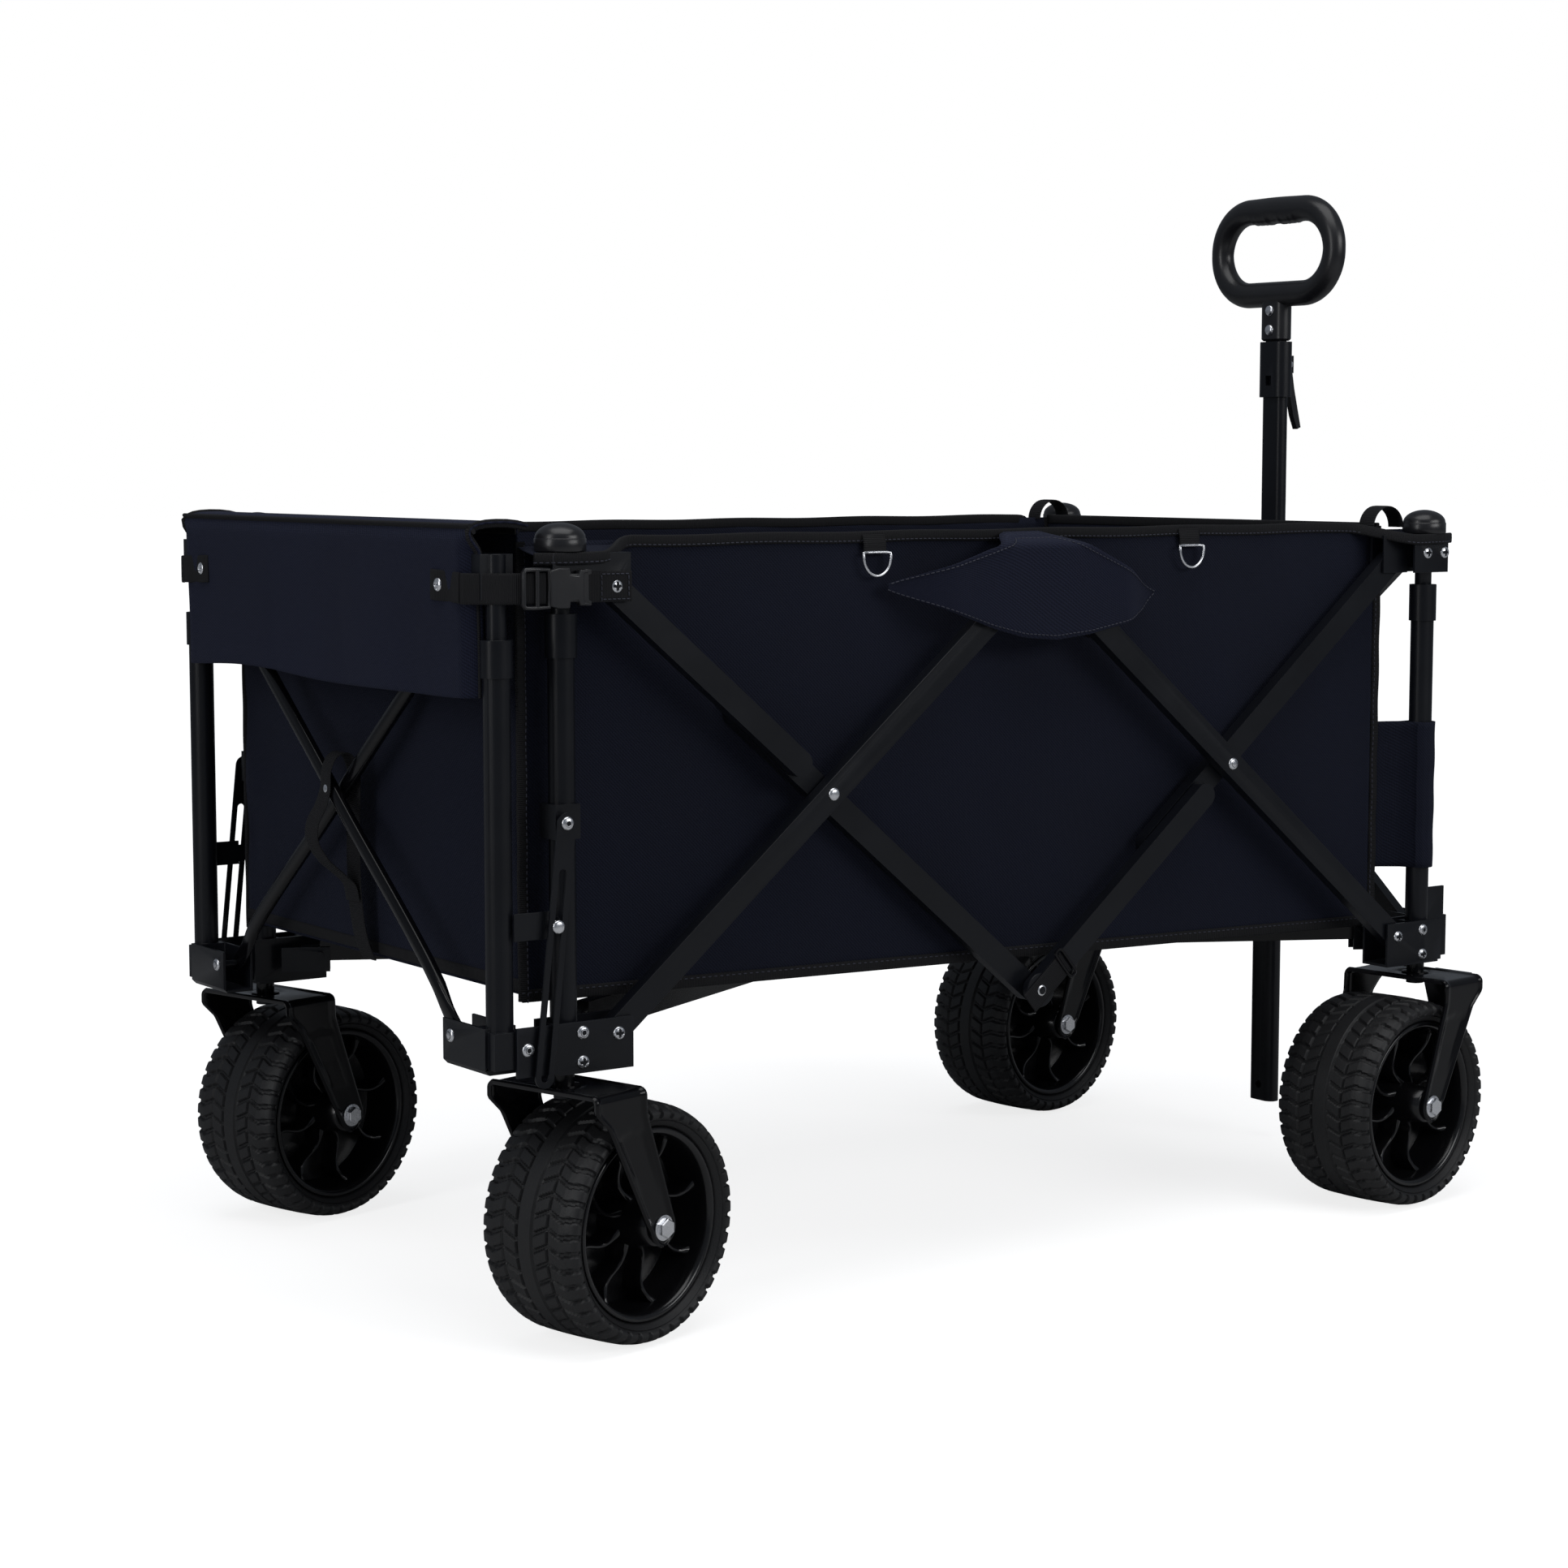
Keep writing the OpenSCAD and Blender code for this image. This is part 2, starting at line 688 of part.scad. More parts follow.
// Sheet across the front end.
module front_panel()
  color(cloth)
    block(bag_x1, bag_x1 + cloth_t, -bag_y, bag_y, 280, rim_z);

// Sheet across the rear end, carried by the tailgate.
module tail_panel()
  color(cloth)
    block(bag_x0 - cloth_t, bag_x0, -bag_y + 0.3, bag_y - 0.3, 294, rim_z + 12);

// Flap folded over the top of the tailgate.
module tail_flap() {
  x0 = -post_length / 2 - tail_back - 19;
  color(cloth) {
    block(x0 - cloth_t, x0, -262, 262, flap_low, rim_z + 14);
    block(x0 - cloth_t, bag_x0, -262, 262, rim_z + 12.6, rim_z + 14);
  }
}

// Side-release buckle and webbing from an upper bracket.
module buckle_part()
  color(gloss) {
    block(8, 46, -21.5, -20, pivot_high - 12.5, pivot_high + 12.5);
    block(-22, 10, -25, -17.6, pivot_high - 15, pivot_high + 15);
    rod_y(8, pivot_in_x, pivot_high, -24, -19.2);
  }

module buckle_r() corner(-1, -1) buckle_part();
module buckle_l() corner(-1, 1) buckle_part();

// ---------- handle ----------

// Hanger from the front cross to the handle's tilt pivot.
module handle_bracket() {
  x = post_length / 2 + 40;
  color(black) {
    difference() {
      block(x, x + 4, -21, 21, 262, pivot_low + pivot_rise / 2 + 14);
      rod_x(rivet_d + 0.5, 0, pivot_low + pivot_rise / 2, x - 5, x + 10);
    }
    for (s = [-1, 1])
      block(x + 3.9, handle_x + 9, s * 19.5 - 1.5, s * 19.5 + 1.5, 230, 290);
    for (s = [-1, 1])
      block(x, x + 4, s * 19.5 - 1.5, s * 19.5 + 1.5, 255, 263);
  }
  color(zinc) {
    rod_y(rivet_d, handle_x, handle_pivot_z, -23, 23);
    head(handle_x, -21, handle_pivot_z, -1);
    head(handle_x, 21, handle_pivot_z, 1);
  }
}

// A flat oval tube section, w across y and t along x.
module oval(t, w) {
  square([t, w - t], center = true);
  for (s = [-1, 1]) translate([0, s * (w - t) / 2]) circle(d = t);
}

// Outer sleeve of the pull handle, with a cross hole near its foot.
module handle_sleeve()
  color(black)
    difference() {
      translate([handle_x, 0, 39]) linear_extrude(601) oval(18, 34);
      translate([handle_x, 0, 38]) linear_extrude(603) oval(14.4, 30.4);
      rod_x(8, 0, 56, handle_x - 20, handle_x + 20);
      rod_y(rivet_d + 0.5, handle_x, handle_pivot_z, -30, 30);
    }

// Middle tube of the pull handle with the latch collar.
module handle_pole()
  color(black)
    difference() {
      union() {
        translate([handle_x, 0, 262]) linear_extrude(522) oval(14, 30);
        translate([handle_x, 0, 781]) linear_extrude(57) oval(21, 38);
        for (s = [-1, 1])
          block(handle_x + 8, handle_x + 19, s * 5.5 - 1.5, s * 5.5 + 1.5, 806, 824);
      }
      translate([handle_x, 0, 261]) linear_extrude(600) oval(11, 27);
      rod_y(4.4, handle_x + 14, 815, -20, 20);
      block(handle_x - 12, handle_x - 5, -4, 4, 793, 803);
    }

// Inner tube with the oval grip loop.
module handle_grip() {
  zc = grip_top - grip_h / 2;
  r = grip_h / 2 - grip_d / 2;
  half = grip_w / 2 - grip_h / 2;
  color(black) {
    translate([handle_x, 0, 330]) linear_extrude(530) oval(10.4, 26.4);
    translate([handle_x, 0, 839]) linear_extrude(zc - r - 839) oval(20, 35);
  }
  color(gloss)
    translate([handle_x, 0, zc]) {
      rod_y(grip_d, 0, r, -half, half);
      rod_y(grip_d, 0, -r, -half, half);
      for (s = [-1, 1])
        translate([0, s * half, 0])
          rotate([0, 90, 0])
            rotate([0, 0, s > 0 ? 0 : 180])
              rotate_extrude(angle = 180) translate([r, 0]) circle(d = grip_d);
    }
}

// Spring lever on the collar.
module handle_lever() {
  color(black)
    translate([handle_x, 3.4, 0])
      rotate([90, 0, 0])
        linear_extrude(6.8)
          polygon([[12, 810], [10.8, 822], [17, 823], [20, 812], [24, 790], [31, 762],
                   [34, 750], [29, 748], [23, 762], [17, 786]]);
  color(zinc) rod_y(4, handle_x + 14, 815, -8, 8);
}

corner_rr();
corner_rl();
corner_fr();
corner_fl();
top_rr();
top_rl();
top_fr();
top_fl();
fork_rr();
fork_rl();
fork_fr();
fork_fl();
tyre_rr();
tyre_rl();
tyre_fr();
tyre_fl();
rim_rr();
rim_rl();
rim_fr();
rim_fl();
brake_fr();
brake_fl();
arm_a1_r();
arm_b1_r();
arm_a2_r();
arm_b2_r();
arm_a1_l();
arm_b1_l();
arm_a2_l();
arm_b2_l();
front_arm_1();
front_arm_2();
tail_arm_1();
tail_arm_2();
tail_post_r();
tail_post_l();
tail_top_r();
tail_top_l();
stay_r();
stay_l();
stay_pin_r();
stay_pin_l();
strut_rr();
strut_rl();
strut_fr();
strut_fl();
floor_r();
floor_l();
side_panel_r();
side_panel_l();
front_panel();
tail_panel();
tail_flap();
handle_bracket();
handle_sleeve();
handle_pole();
handle_grip();
handle_lever();
buckle_r();
buckle_l();
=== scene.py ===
import json
import math

import bpy
import bmesh
from mathutils import Matrix, Vector, noise


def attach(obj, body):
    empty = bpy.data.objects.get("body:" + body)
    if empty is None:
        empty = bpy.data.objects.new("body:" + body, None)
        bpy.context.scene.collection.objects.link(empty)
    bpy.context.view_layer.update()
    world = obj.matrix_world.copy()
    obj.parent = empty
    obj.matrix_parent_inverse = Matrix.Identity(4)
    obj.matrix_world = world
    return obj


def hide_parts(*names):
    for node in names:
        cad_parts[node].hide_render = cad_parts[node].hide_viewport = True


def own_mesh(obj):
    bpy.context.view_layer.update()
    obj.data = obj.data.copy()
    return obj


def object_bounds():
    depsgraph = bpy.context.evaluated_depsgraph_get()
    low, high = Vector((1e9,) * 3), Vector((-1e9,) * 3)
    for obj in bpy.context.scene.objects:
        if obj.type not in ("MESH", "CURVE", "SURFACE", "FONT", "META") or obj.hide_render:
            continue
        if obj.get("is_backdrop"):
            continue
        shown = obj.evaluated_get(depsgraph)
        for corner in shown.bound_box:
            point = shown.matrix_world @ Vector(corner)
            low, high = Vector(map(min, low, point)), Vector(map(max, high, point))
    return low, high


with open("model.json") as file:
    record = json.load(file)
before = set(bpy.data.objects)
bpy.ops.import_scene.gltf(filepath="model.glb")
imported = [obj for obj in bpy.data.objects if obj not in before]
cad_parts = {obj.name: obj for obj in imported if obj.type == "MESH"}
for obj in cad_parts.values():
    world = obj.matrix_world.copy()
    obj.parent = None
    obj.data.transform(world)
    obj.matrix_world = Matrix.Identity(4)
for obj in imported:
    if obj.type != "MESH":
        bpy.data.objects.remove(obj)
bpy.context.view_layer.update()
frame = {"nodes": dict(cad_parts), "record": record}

# ---------------------------------------------------------------- studio
# The wagon stands on a plain pale floor under wide soft lamps. The camera
# is a long lens a little above the rim, behind the right rear corner.
camera_place = Vector((-1.801, -2.436, 0.724))
camera_turn = math.radians(-35.25)
camera_tilt = math.radians(5.94)
frame_width = 1932.0
lens_reach = 3929.0

lens = bpy.data.cameras.new("camera")
lens.sensor_width = 36.0
lens.lens = lens.sensor_width * lens_reach / frame_width
lens.clip_end = 60.0
camera = bpy.data.objects.new("camera", lens)
bpy.context.scene.collection.objects.link(camera)
camera.location = camera_place
look = Vector((-math.sin(camera_turn) * math.cos(camera_tilt),
               math.cos(camera_turn) * math.cos(camera_tilt),
               -math.sin(camera_tilt)))
camera.rotation_euler = look.to_track_quat("-Z", "Y").to_euler()
bpy.context.scene.camera = camera
bpy.context.scene.view_settings.view_transform = "Standard"

world = bpy.data.worlds.new("studio_air")
bpy.context.scene.world = world
world.use_nodes = True
air = world.node_tree
seen_air = air.nodes["Background"]
seen_air.inputs["Color"].default_value = (1.0, 1.0, 1.0, 1.0)
seen_air.inputs["Strength"].default_value = 1.0
lit_air = air.nodes.new("ShaderNodeBackground")
lit_air.inputs["Color"].default_value = (0.80, 0.88, 1.0, 1.0)
lit_air.inputs["Strength"].default_value = 0.17
which_air = air.nodes.new("ShaderNodeMixShader")
ray = air.nodes.new("ShaderNodeLightPath")
air.links.new(ray.outputs["Is Camera Ray"], which_air.inputs["Fac"])
air.links.new(lit_air.outputs["Background"], which_air.inputs[1])
air.links.new(seen_air.outputs["Background"], which_air.inputs[2])
air.links.new(which_air.outputs["Shader"], air.nodes["World Output"].inputs["Surface"])


def soft_lamp(name, place, target, size, watts):
    """A rectangular softbox at a place, facing a target."""
    lamp = bpy.data.lights.new(name, "AREA")
    lamp.shape = "RECTANGLE"
    lamp.size, lamp.size_y = size
    lamp.energy = watts
    holder = bpy.data.objects.new(name, lamp)
    bpy.context.scene.collection.objects.link(holder)
    holder.location = place
    holder.rotation_euler = (Vector(target) - Vector(place)).to_track_quat("-Z", "Y").to_euler()


soft_lamp("overhead_softbox", (-0.4, -0.6, 3.0), (0.0, 0.0, 0.3), (2.6, 2.2), 34)
soft_lamp("rear_softbox", (-3.0, -0.6, 1.4), (-0.2, 0.0, 0.4), (0.5, 2.0), 16)
soft_lamp("side_softbox", (1.2, -3.0, 1.7), (0.1, 0.0, 0.4), (2.2, 1.0), 26)


def new_material(name, colour, roughness, metallic=0.0):
    """A material with its shader, ready for more nodes."""
    material = bpy.data.materials.new(name)
    material.use_nodes = True
    shader = material.node_tree.nodes["Principled BSDF"]
    shader.inputs["Base Color"].default_value = (*colour, 1.0)
    shader.inputs["Roughness"].default_value = roughness
    shader.inputs["Metallic"].default_value = metallic
    return material, material.node_tree, shader


floor_paint, _, floor_shader = new_material("pale_floor", (0.55, 0.55, 0.55), 0.9)
floor_shader.inputs["Specular IOR Level"].default_value = 0.0
floor_shader.inputs["Emission Color"].default_value = (1.0, 1.0, 1.0, 1.0)
floor_tree = floor_paint.node_tree
floor_where = floor_tree.nodes.new("ShaderNodeTexCoord")
floor_reach = floor_tree.nodes.new("ShaderNodeVectorMath")
floor_reach.operation = "LENGTH"
floor_fade = floor_tree.nodes.new("ShaderNodeMapRange")
floor_fade.inputs["From Min"].default_value = 0.7
floor_fade.inputs["From Max"].default_value = 2.6
floor_fade.inputs["To Min"].default_value = 0.80
floor_fade.inputs["To Max"].default_value = 1.0
floor_ray = floor_tree.nodes.new("ShaderNodeLightPath")
floor_glow = floor_tree.nodes.new("ShaderNodeMath")
floor_glow.operation = "MULTIPLY"
floor_tree.links.new(floor_where.outputs["Object"], floor_reach.inputs[0])
floor_tree.links.new(floor_reach.outputs["Value"], floor_fade.inputs["Value"])
floor_tree.links.new(floor_fade.outputs["Result"], floor_glow.inputs[0])
floor_tree.links.new(floor_ray.outputs["Is Camera Ray"], floor_glow.inputs[1])
floor_tree.links.new(floor_glow.outputs["Value"], floor_shader.inputs["Emission Strength"])
floor_mesh = bpy.data.meshes.new("studio_floor")
floor_mesh.from_pydata([(-30, -30, 0), (30, -30, 0), (30, 30, 0), (-30, 30, 0)], [], [(0, 1, 2, 3)])
studio_floor = bpy.data.objects.new("studio_floor", floor_mesh)
bpy.context.scene.collection.objects.link(studio_floor)
floor_mesh.materials.append(floor_paint)
studio_floor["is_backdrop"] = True

# ---------------------------------------------------------------- corner steel
# The four corner posts, their brackets and their sliding tops are pressed and
# rolled steel under satin black powder coat: faintly pebbled, edges eased.
post_x, post_y = 0.487, 0.270
ends = {"rr": (-1, -1), "rl": (-1, 1), "fr": (1, -1), "fl": (1, 1)}
body_of_node = {node: body
                for body, nodes in frame["record"]["behaviour"]["bodies"].items()
                for node in nodes}


def mottled(tree, shader, colour, roughness, scale=22.0, spread=0.25):
    """Slow changes of tint and gloss over a surface."""
    where = tree.nodes.new("ShaderNodeTexCoord")
    cloud = tree.nodes.new("ShaderNodeTexNoise")
    cloud.inputs["Scale"].default_value = scale
    cloud.inputs["Detail"].default_value = 4.0
    tree.links.new(where.outputs["Object"], cloud.inputs["Vector"])
    span = tree.nodes.new("ShaderNodeMapRange")
    span.inputs["To Min"].default_value = max(0.05, roughness - 0.06)
    span.inputs["To Max"].default_value = min(1.0, roughness + 0.08)
    tree.links.new(cloud.outputs["Fac"], span.inputs["Value"])
    tree.links.new(span.outputs["Result"], shader.inputs["Roughness"])
    tint = tree.nodes.new("ShaderNodeMixRGB")
    tint.inputs["Color1"].default_value = (*[c * (1 - spread) for c in colour], 1.0)
    tint.inputs["Color2"].default_value = (*[min(1.0, c * (1 + spread)) for c in colour], 1.0)
    tree.links.new(cloud.outputs["Fac"], tint.inputs["Fac"])
    tree.links.new(tint.outputs["Color"], shader.inputs["Base Color"])
    return where, tint


def grained(tree, shader, where, scale, strength, distance):
    """A fine pebble bump."""
    grain = tree.nodes.new("ShaderNodeTexNoise")
    grain.inputs["Scale"].default_value = scale
    grain.inputs["Detail"].default_value = 2.0
    tree.links.new(where.outputs["Object"], grain.inputs["Vector"])
    bump = tree.nodes.new("ShaderNodeBump")
    bump.inputs["Strength"].default_value = strength
    bump.inputs["Distance"].default_value = distance
    tree.links.new(grain.outputs["Fac"], bump.inputs["Height"])
    tree.links.new(bump.outputs["Normal"], shader.inputs["Normal"])


def powder_coat(name, colour, roughness, pebble):
    """Powder-coated steel, with a highlight painted paler along its sharp edges."""
    material, tree, shader = new_material(name, colour, roughness)
    where, tint = mottled(tree, shader, colour, roughness)
    grained(tree, shader, where, 1300.0, 0.15, pebble)
    # Painted highlight: where pointiness is high, on sharp convex edges, the colour is mixed toward
    # a paler one, standing in for light glinting on the edges.
    shape = tree.nodes.new("ShaderNodeNewGeometry")
    edge_highlight_mask = tree.nodes.new("ShaderNodeMapRange")
    edge_highlight_mask.inputs["From Min"].default_value = 0.60
    edge_highlight_mask.inputs["From Max"].default_value = 0.74
    shader.inputs["Specular IOR Level"].default_value = 0.28
    tree.links.new(shape.outputs["Pointiness"], edge_highlight_mask.inputs["Value"])
    edge = tree.nodes.new("ShaderNodeMixRGB")
    # the paler colour of the painted edge highlight
    edge.inputs["Color2"].default_value = (*[c * 2.0 + 0.006 for c in colour], 1.0)
    tree.links.new(edge_highlight_mask.outputs["Result"], edge.inputs["Fac"])
    tree.links.new(tint.outputs["Color"], edge.inputs["Color1"])
    tree.links.new(edge.outputs["Color"], shader.inputs["Base Color"])
    return material


satin_black = powder_coat("satin_black_coat", (0.0060, 0.0068, 0.0095), 0.32, 0.0004)
gloss_black = powder_coat("gloss_black_coat", (0.0032, 0.0032, 0.0042), 0.15, 0.0002)


def show(name, mesh, material, body, smooth=35.0):
    """Puts a finished mesh on its body, with its finish and smooth shading."""
    piece = bpy.data.objects.new(name, mesh)
    bpy.context.scene.collection.objects.link(piece)
    if not mesh.materials:
        mesh.materials.append(material)
    mesh.polygons.foreach_set("use_smooth", [True] * len(mesh.polygons))
    mesh.set_sharp_from_angle(angle=math.radians(smooth))
    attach(piece, body)
    return piece


def round_edges(piece, width, segments=2, angle=38.0):
    """Eases the sharp edges of a piece."""
    ease = piece.modifiers.new("eased_edges", "BEVEL")
    ease.width = width
    ease.segments = segments
    ease.limit_method = "ANGLE"
    ease.angle_limit = math.radians(angle)
    return ease


def eased_steel(node, material, edge):
    """The CAD part with its flats merged and its sharp edges eased."""
    steel = bmesh.new()
    steel.from_mesh(frame["nodes"][node].data)
    bmesh.ops.remove_doubles(steel, verts=steel.verts, dist=1e-6)
    bmesh.ops.dissolve_limit(steel, angle_limit=math.radians(1.0), verts=steel.verts,
                             edges=steel.edges)
    mesh = bpy.data.meshes.new(node + "_steel")
    steel.to_mesh(mesh)
    steel.free()
    piece = show(node + "_steel", mesh, material, body_of_node[node])
    round_edges(piece, edge)
    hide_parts(node)
    return piece


for end in ends:
    eased_steel("corner_" + end, satin_black, 0.0009)
    eased_steel("top_" + end, satin_black, 0.0009)

# ---------------------------------------------------------------- post caps
# A glossy moulded dome with a short skirt is pressed on top of each corner
# post and covers the end of the sliding tube.
moulded_black, _tree, _shader = new_material("moulded_black_plastic", (0.012, 0.012, 0.014), 0.3)
_where, _tint = mottled(_tree, _shader, (0.012, 0.012, 0.014), 0.3, 30.0)
grained(_tree, _shader, _where, 900.0, 0.1, 0.0003)


def skin(name, rows, wrap=False, caps=False, uvs=None, loop=False):
    """A mesh through rows of points. wrap closes each row into a ring, caps fills
    the first and last ring, and loop joins the last row to the first."""
    count = len(rows[0])
    points = [p for row in rows for p in row]
    faces = []
    for i in range(len(rows) if loop else len(rows) - 1):
        low, high = i * count, ((i + 1) % len(rows)) * count
        for j in range(count if wrap else count - 1):
            k = (j + 1) % count
            faces.append((low + j, low + k, high + k, high + j))
    if caps:
        faces.append(tuple(range(count - 1, -1, -1)))
        faces.append(tuple((len(rows) - 1) * count + j for j in range(count)))
    mesh = bpy.data.meshes.new(name)
    mesh.from_pydata(points, [], faces)
    if uvs:
        flat = [uv for row in uvs for uv in row]
        layer = mesh.uv_layers.new(name="run")
        layer.data.foreach_set(
            "uv", [c for poly in mesh.polygons for v in poly.vertices for c in flat[v]])
    return mesh


def outward(mesh):
    """Turns the faces of a closed mesh outward."""
    shell = bmesh.new()
    shell.from_mesh(mesh)
    bmesh.ops.recalc_face_normals(shell, faces=shell.faces)
    shell.to_mesh(mesh)
    shell.free()
    return mesh


def turned(name, profile, place, steps=48):
    """A turned mesh: (radius, height) pairs spun about an axis placed by a matrix."""
    rows = []
    for radius, height in profile:
        rows.append([place @ Vector((radius * math.cos(2 * math.pi * s / steps),
                                     radius * math.sin(2 * math.pi * s / steps), height))
                     for s in range(steps)])
    return outward(skin(name, rows, wrap=True, caps=True))


def arc(radius, height, base, count=10):
    """A dome's profile from its rim to near its crown."""
    return [(radius * math.cos(math.pi / 2 * k / count),
             base + height * math.sin(math.pi / 2 * k / count)) for k in range(count)] \
        + [(radius * 0.04, base + height * 0.9995)]


for end, (sx, sy) in ends.items():
    dome = turned("cap_" + end,
                  [(0.0203, 0.6463), (0.0208, 0.6470), (0.0208, 0.6560), (0.0203, 0.6566)]
                  + arc(0.0202, 0.0122, 0.6566),
                  Matrix.Translation((sx * post_x, sy * post_y, 0.0)))
    show("cap_" + end, dome, moulded_black, "top_" + end, 50.0)

# ---------------------------------------------------------------- side arms
# Two pairs of crossed box tubes on each side fold the wagon lengthwise. They
# are satin steel with rounded corners; their brighter lower edge is a highlight
# painted paler along all their sharp edges by the coat.
arm_pivot_x, arm_low, arm_rise = 0.445, 0.258, 0.360
arm_slope = math.atan(arm_rise / 0.434)
full_span = arm_pivot_x / math.cos(arm_slope)
for side in ("r", "l"):
    for arm in ("a1", "b1", "a2", "b2"):
        eased_steel("arm_%s_%s" % (arm, side), satin_black, 0.0020)

# ---------------------------------------------------------------- floor struts
# Tall flat struts run from a hinge lug in each corner toward the middle of the
# floor and carry its boards. Gloss black, with rounded ends.
for end in ends:
    eased_steel("strut_" + end, gloss_black, 0.0014)

# ---------------------------------------------------------------- end crosses
# The front cross is box tube like the side arms. The gate's cross is thinner
# bent tube, flattened and kinked where it runs into the lower brackets.
for number in ("1", "2"):
    eased_steel("front_arm_" + number, satin_black, 0.0018)


def sweep(name, path, sizes, thin, ring=16, power=2.0, loop=False):
    """A solid swept along a path. sizes are (across, thick) at each point and thin is
    the direction of the thickness, or a list of directions; power squares the section."""
    rows, uvs = [], []
    run = 0.0
    for i, point in enumerate(path):
        after = path[(i + 1) % len(path)] if loop or i + 1 < len(path) else path[i]
        before = path[i - 1] if loop or i > 0 else path[i]
        along = (after - before).normalized()
        flat = Vector(thin[i] if isinstance(thin, list) else thin)
        flat = (flat - along * flat.dot(along)).normalized()
        across = along.cross(flat)
        wide, thick = sizes[i] if isinstance(sizes, list) else sizes
        row = []
        for s in range(ring):
            angle = 2 * math.pi * s / ring
            c, d = math.cos(angle), math.sin(angle)
            row.append(point
                       + across * (math.copysign(abs(c) ** (2 / power), c) * wide / 2)
                       + flat * (math.copysign(abs(d) ** (2 / power), d) * thick / 2))
        if i:
            run += (point - path[i - 1]).length
        rows.append(row)
        uvs.append([(run, abs(s / ring - 0.5) * 2 * wide) for s in range(ring)])
    return outward(skin(name, rows, wrap=True, caps=not loop, uvs=uvs, loop=loop))


gate_kinks = ((0.0, 0.0), (0.018, 0.0), (0.055, 0.0055), (0.075, 0.0062), (0.2819, 0.0),
              (0.4888, -0.0040), (0.5088, -0.0035), (0.5458, 0.0), (0.5638, 0.0))


def bent_line(s):
    """How far a gate arm stands above its straight line at distance s."""
    for (s0, h0), (s1, h1) in zip(gate_kinks, gate_kinks[1:]):
        if s <= s1 + 1e-9:
            t = (s - s0) / (s1 - s0)
            return h0 + (h1 - h0) * (t * t * (3 - 2 * t))
    return 0.0


for number, start, mid_x in (("1", -1, -0.55195), ("2", 1, -0.54005)):
    path, sizes = [], []
    along = Vector((0.0, -start * math.cos(arm_slope), math.sin(arm_slope)))
    above = Vector((0.0, start * math.sin(arm_slope), math.cos(arm_slope)))
    foot = Vector((mid_x, start * 0.217, arm_low))
    steps = [-0.0075, -0.0068, -0.005] + [0.5638 * k / 70 for k in range(71)] \
        + [0.5688, 0.5706, 0.5713]
    for s in steps:
        reach = min(s, 0.5638 - s)
        squash = min(1.0, max(0.0, (reach - 0.016) / 0.034))
        squash = squash * squash * (3 - 2 * squash)
        wide = 0.0165 * (1 - squash) + 0.0140 * squash
        thick = 0.0050 * (1 - squash) + 0.0095 * squash
        if reach < 0.0:
            wide *= math.sqrt(max(0.03, 1 - (reach / 0.0082) ** 2))
        path.append(foot + along * s + above * bent_line(min(max(s, 0.0), 0.5638)))
        sizes.append((wide, thick))
    tube = sweep("gate_arm_" + number, path, sizes, (1.0, 0.0, 0.0), 20, 2.6)
    piece = show("gate_arm_" + number, tube, gloss_black, "tail_arm_" + number)
    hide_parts("tail_arm_" + number)

# ---------------------------------------------------------------- tailgate steel
# Two posts with channel brackets carry the gate; a slotted flat stay on each
# side limits how far it drops. Satin black sheet and tube.
for side in ("r", "l"):
    eased_steel("tail_post_" + side, satin_black, 0.0009)
    eased_steel("tail_top_" + side, satin_black, 0.0009)
    eased_steel("stay_" + side, satin_black, 0.0004)

# ---------------------------------------------------------------- rivets and screws
# Bright zinc rivets and cross-head screws hold the arms, brackets and stays.
# One head of each kind is made, then set at every fixing with its own turn.
zinc, _tree, _shader = new_material("bright_zinc", (0.80, 0.81, 0.83), 0.26, 1.0)
_where, _tint = mottled(_tree, _shader, (0.78, 0.79, 0.82), 0.26, 260.0, 0.12)
grained(_tree, _shader, _where, 1500.0, 0.12, 0.0002)


def head_mesh(name, radius, height, recess):
    """A domed head on its own +Z axis. recess is 'cross', 'dimple' or 'plain'."""
    rows = [[Vector((radius * 0.98 * math.cos(2 * math.pi * s / 32),
                     radius * 0.98 * math.sin(2 * math.pi * s / 32), -0.0004))
             for s in range(32)]]
    for k in range(9):
        bend = math.pi / 2 * k / 8
        r = max(radius * math.cos(bend), radius * 0.05)
        row = []
        for s in range(32):
            x = r * math.cos(2 * math.pi * s / 32)
            y = r * math.sin(2 * math.pi * s / 32)
            z = height * math.sin(bend) ** 0.8
            if recess == "cross" and r < radius * 0.62 and min(abs(x), abs(y)) < radius * 0.16:
                z -= height * 0.5
            if recess == "dimple" and r < radius * 0.3:
                z -= height * 0.4
            row.append(Vector((x, y, z)))
        rows.append(row)
    return outward(skin(name, rows, wrap=True, caps=True))


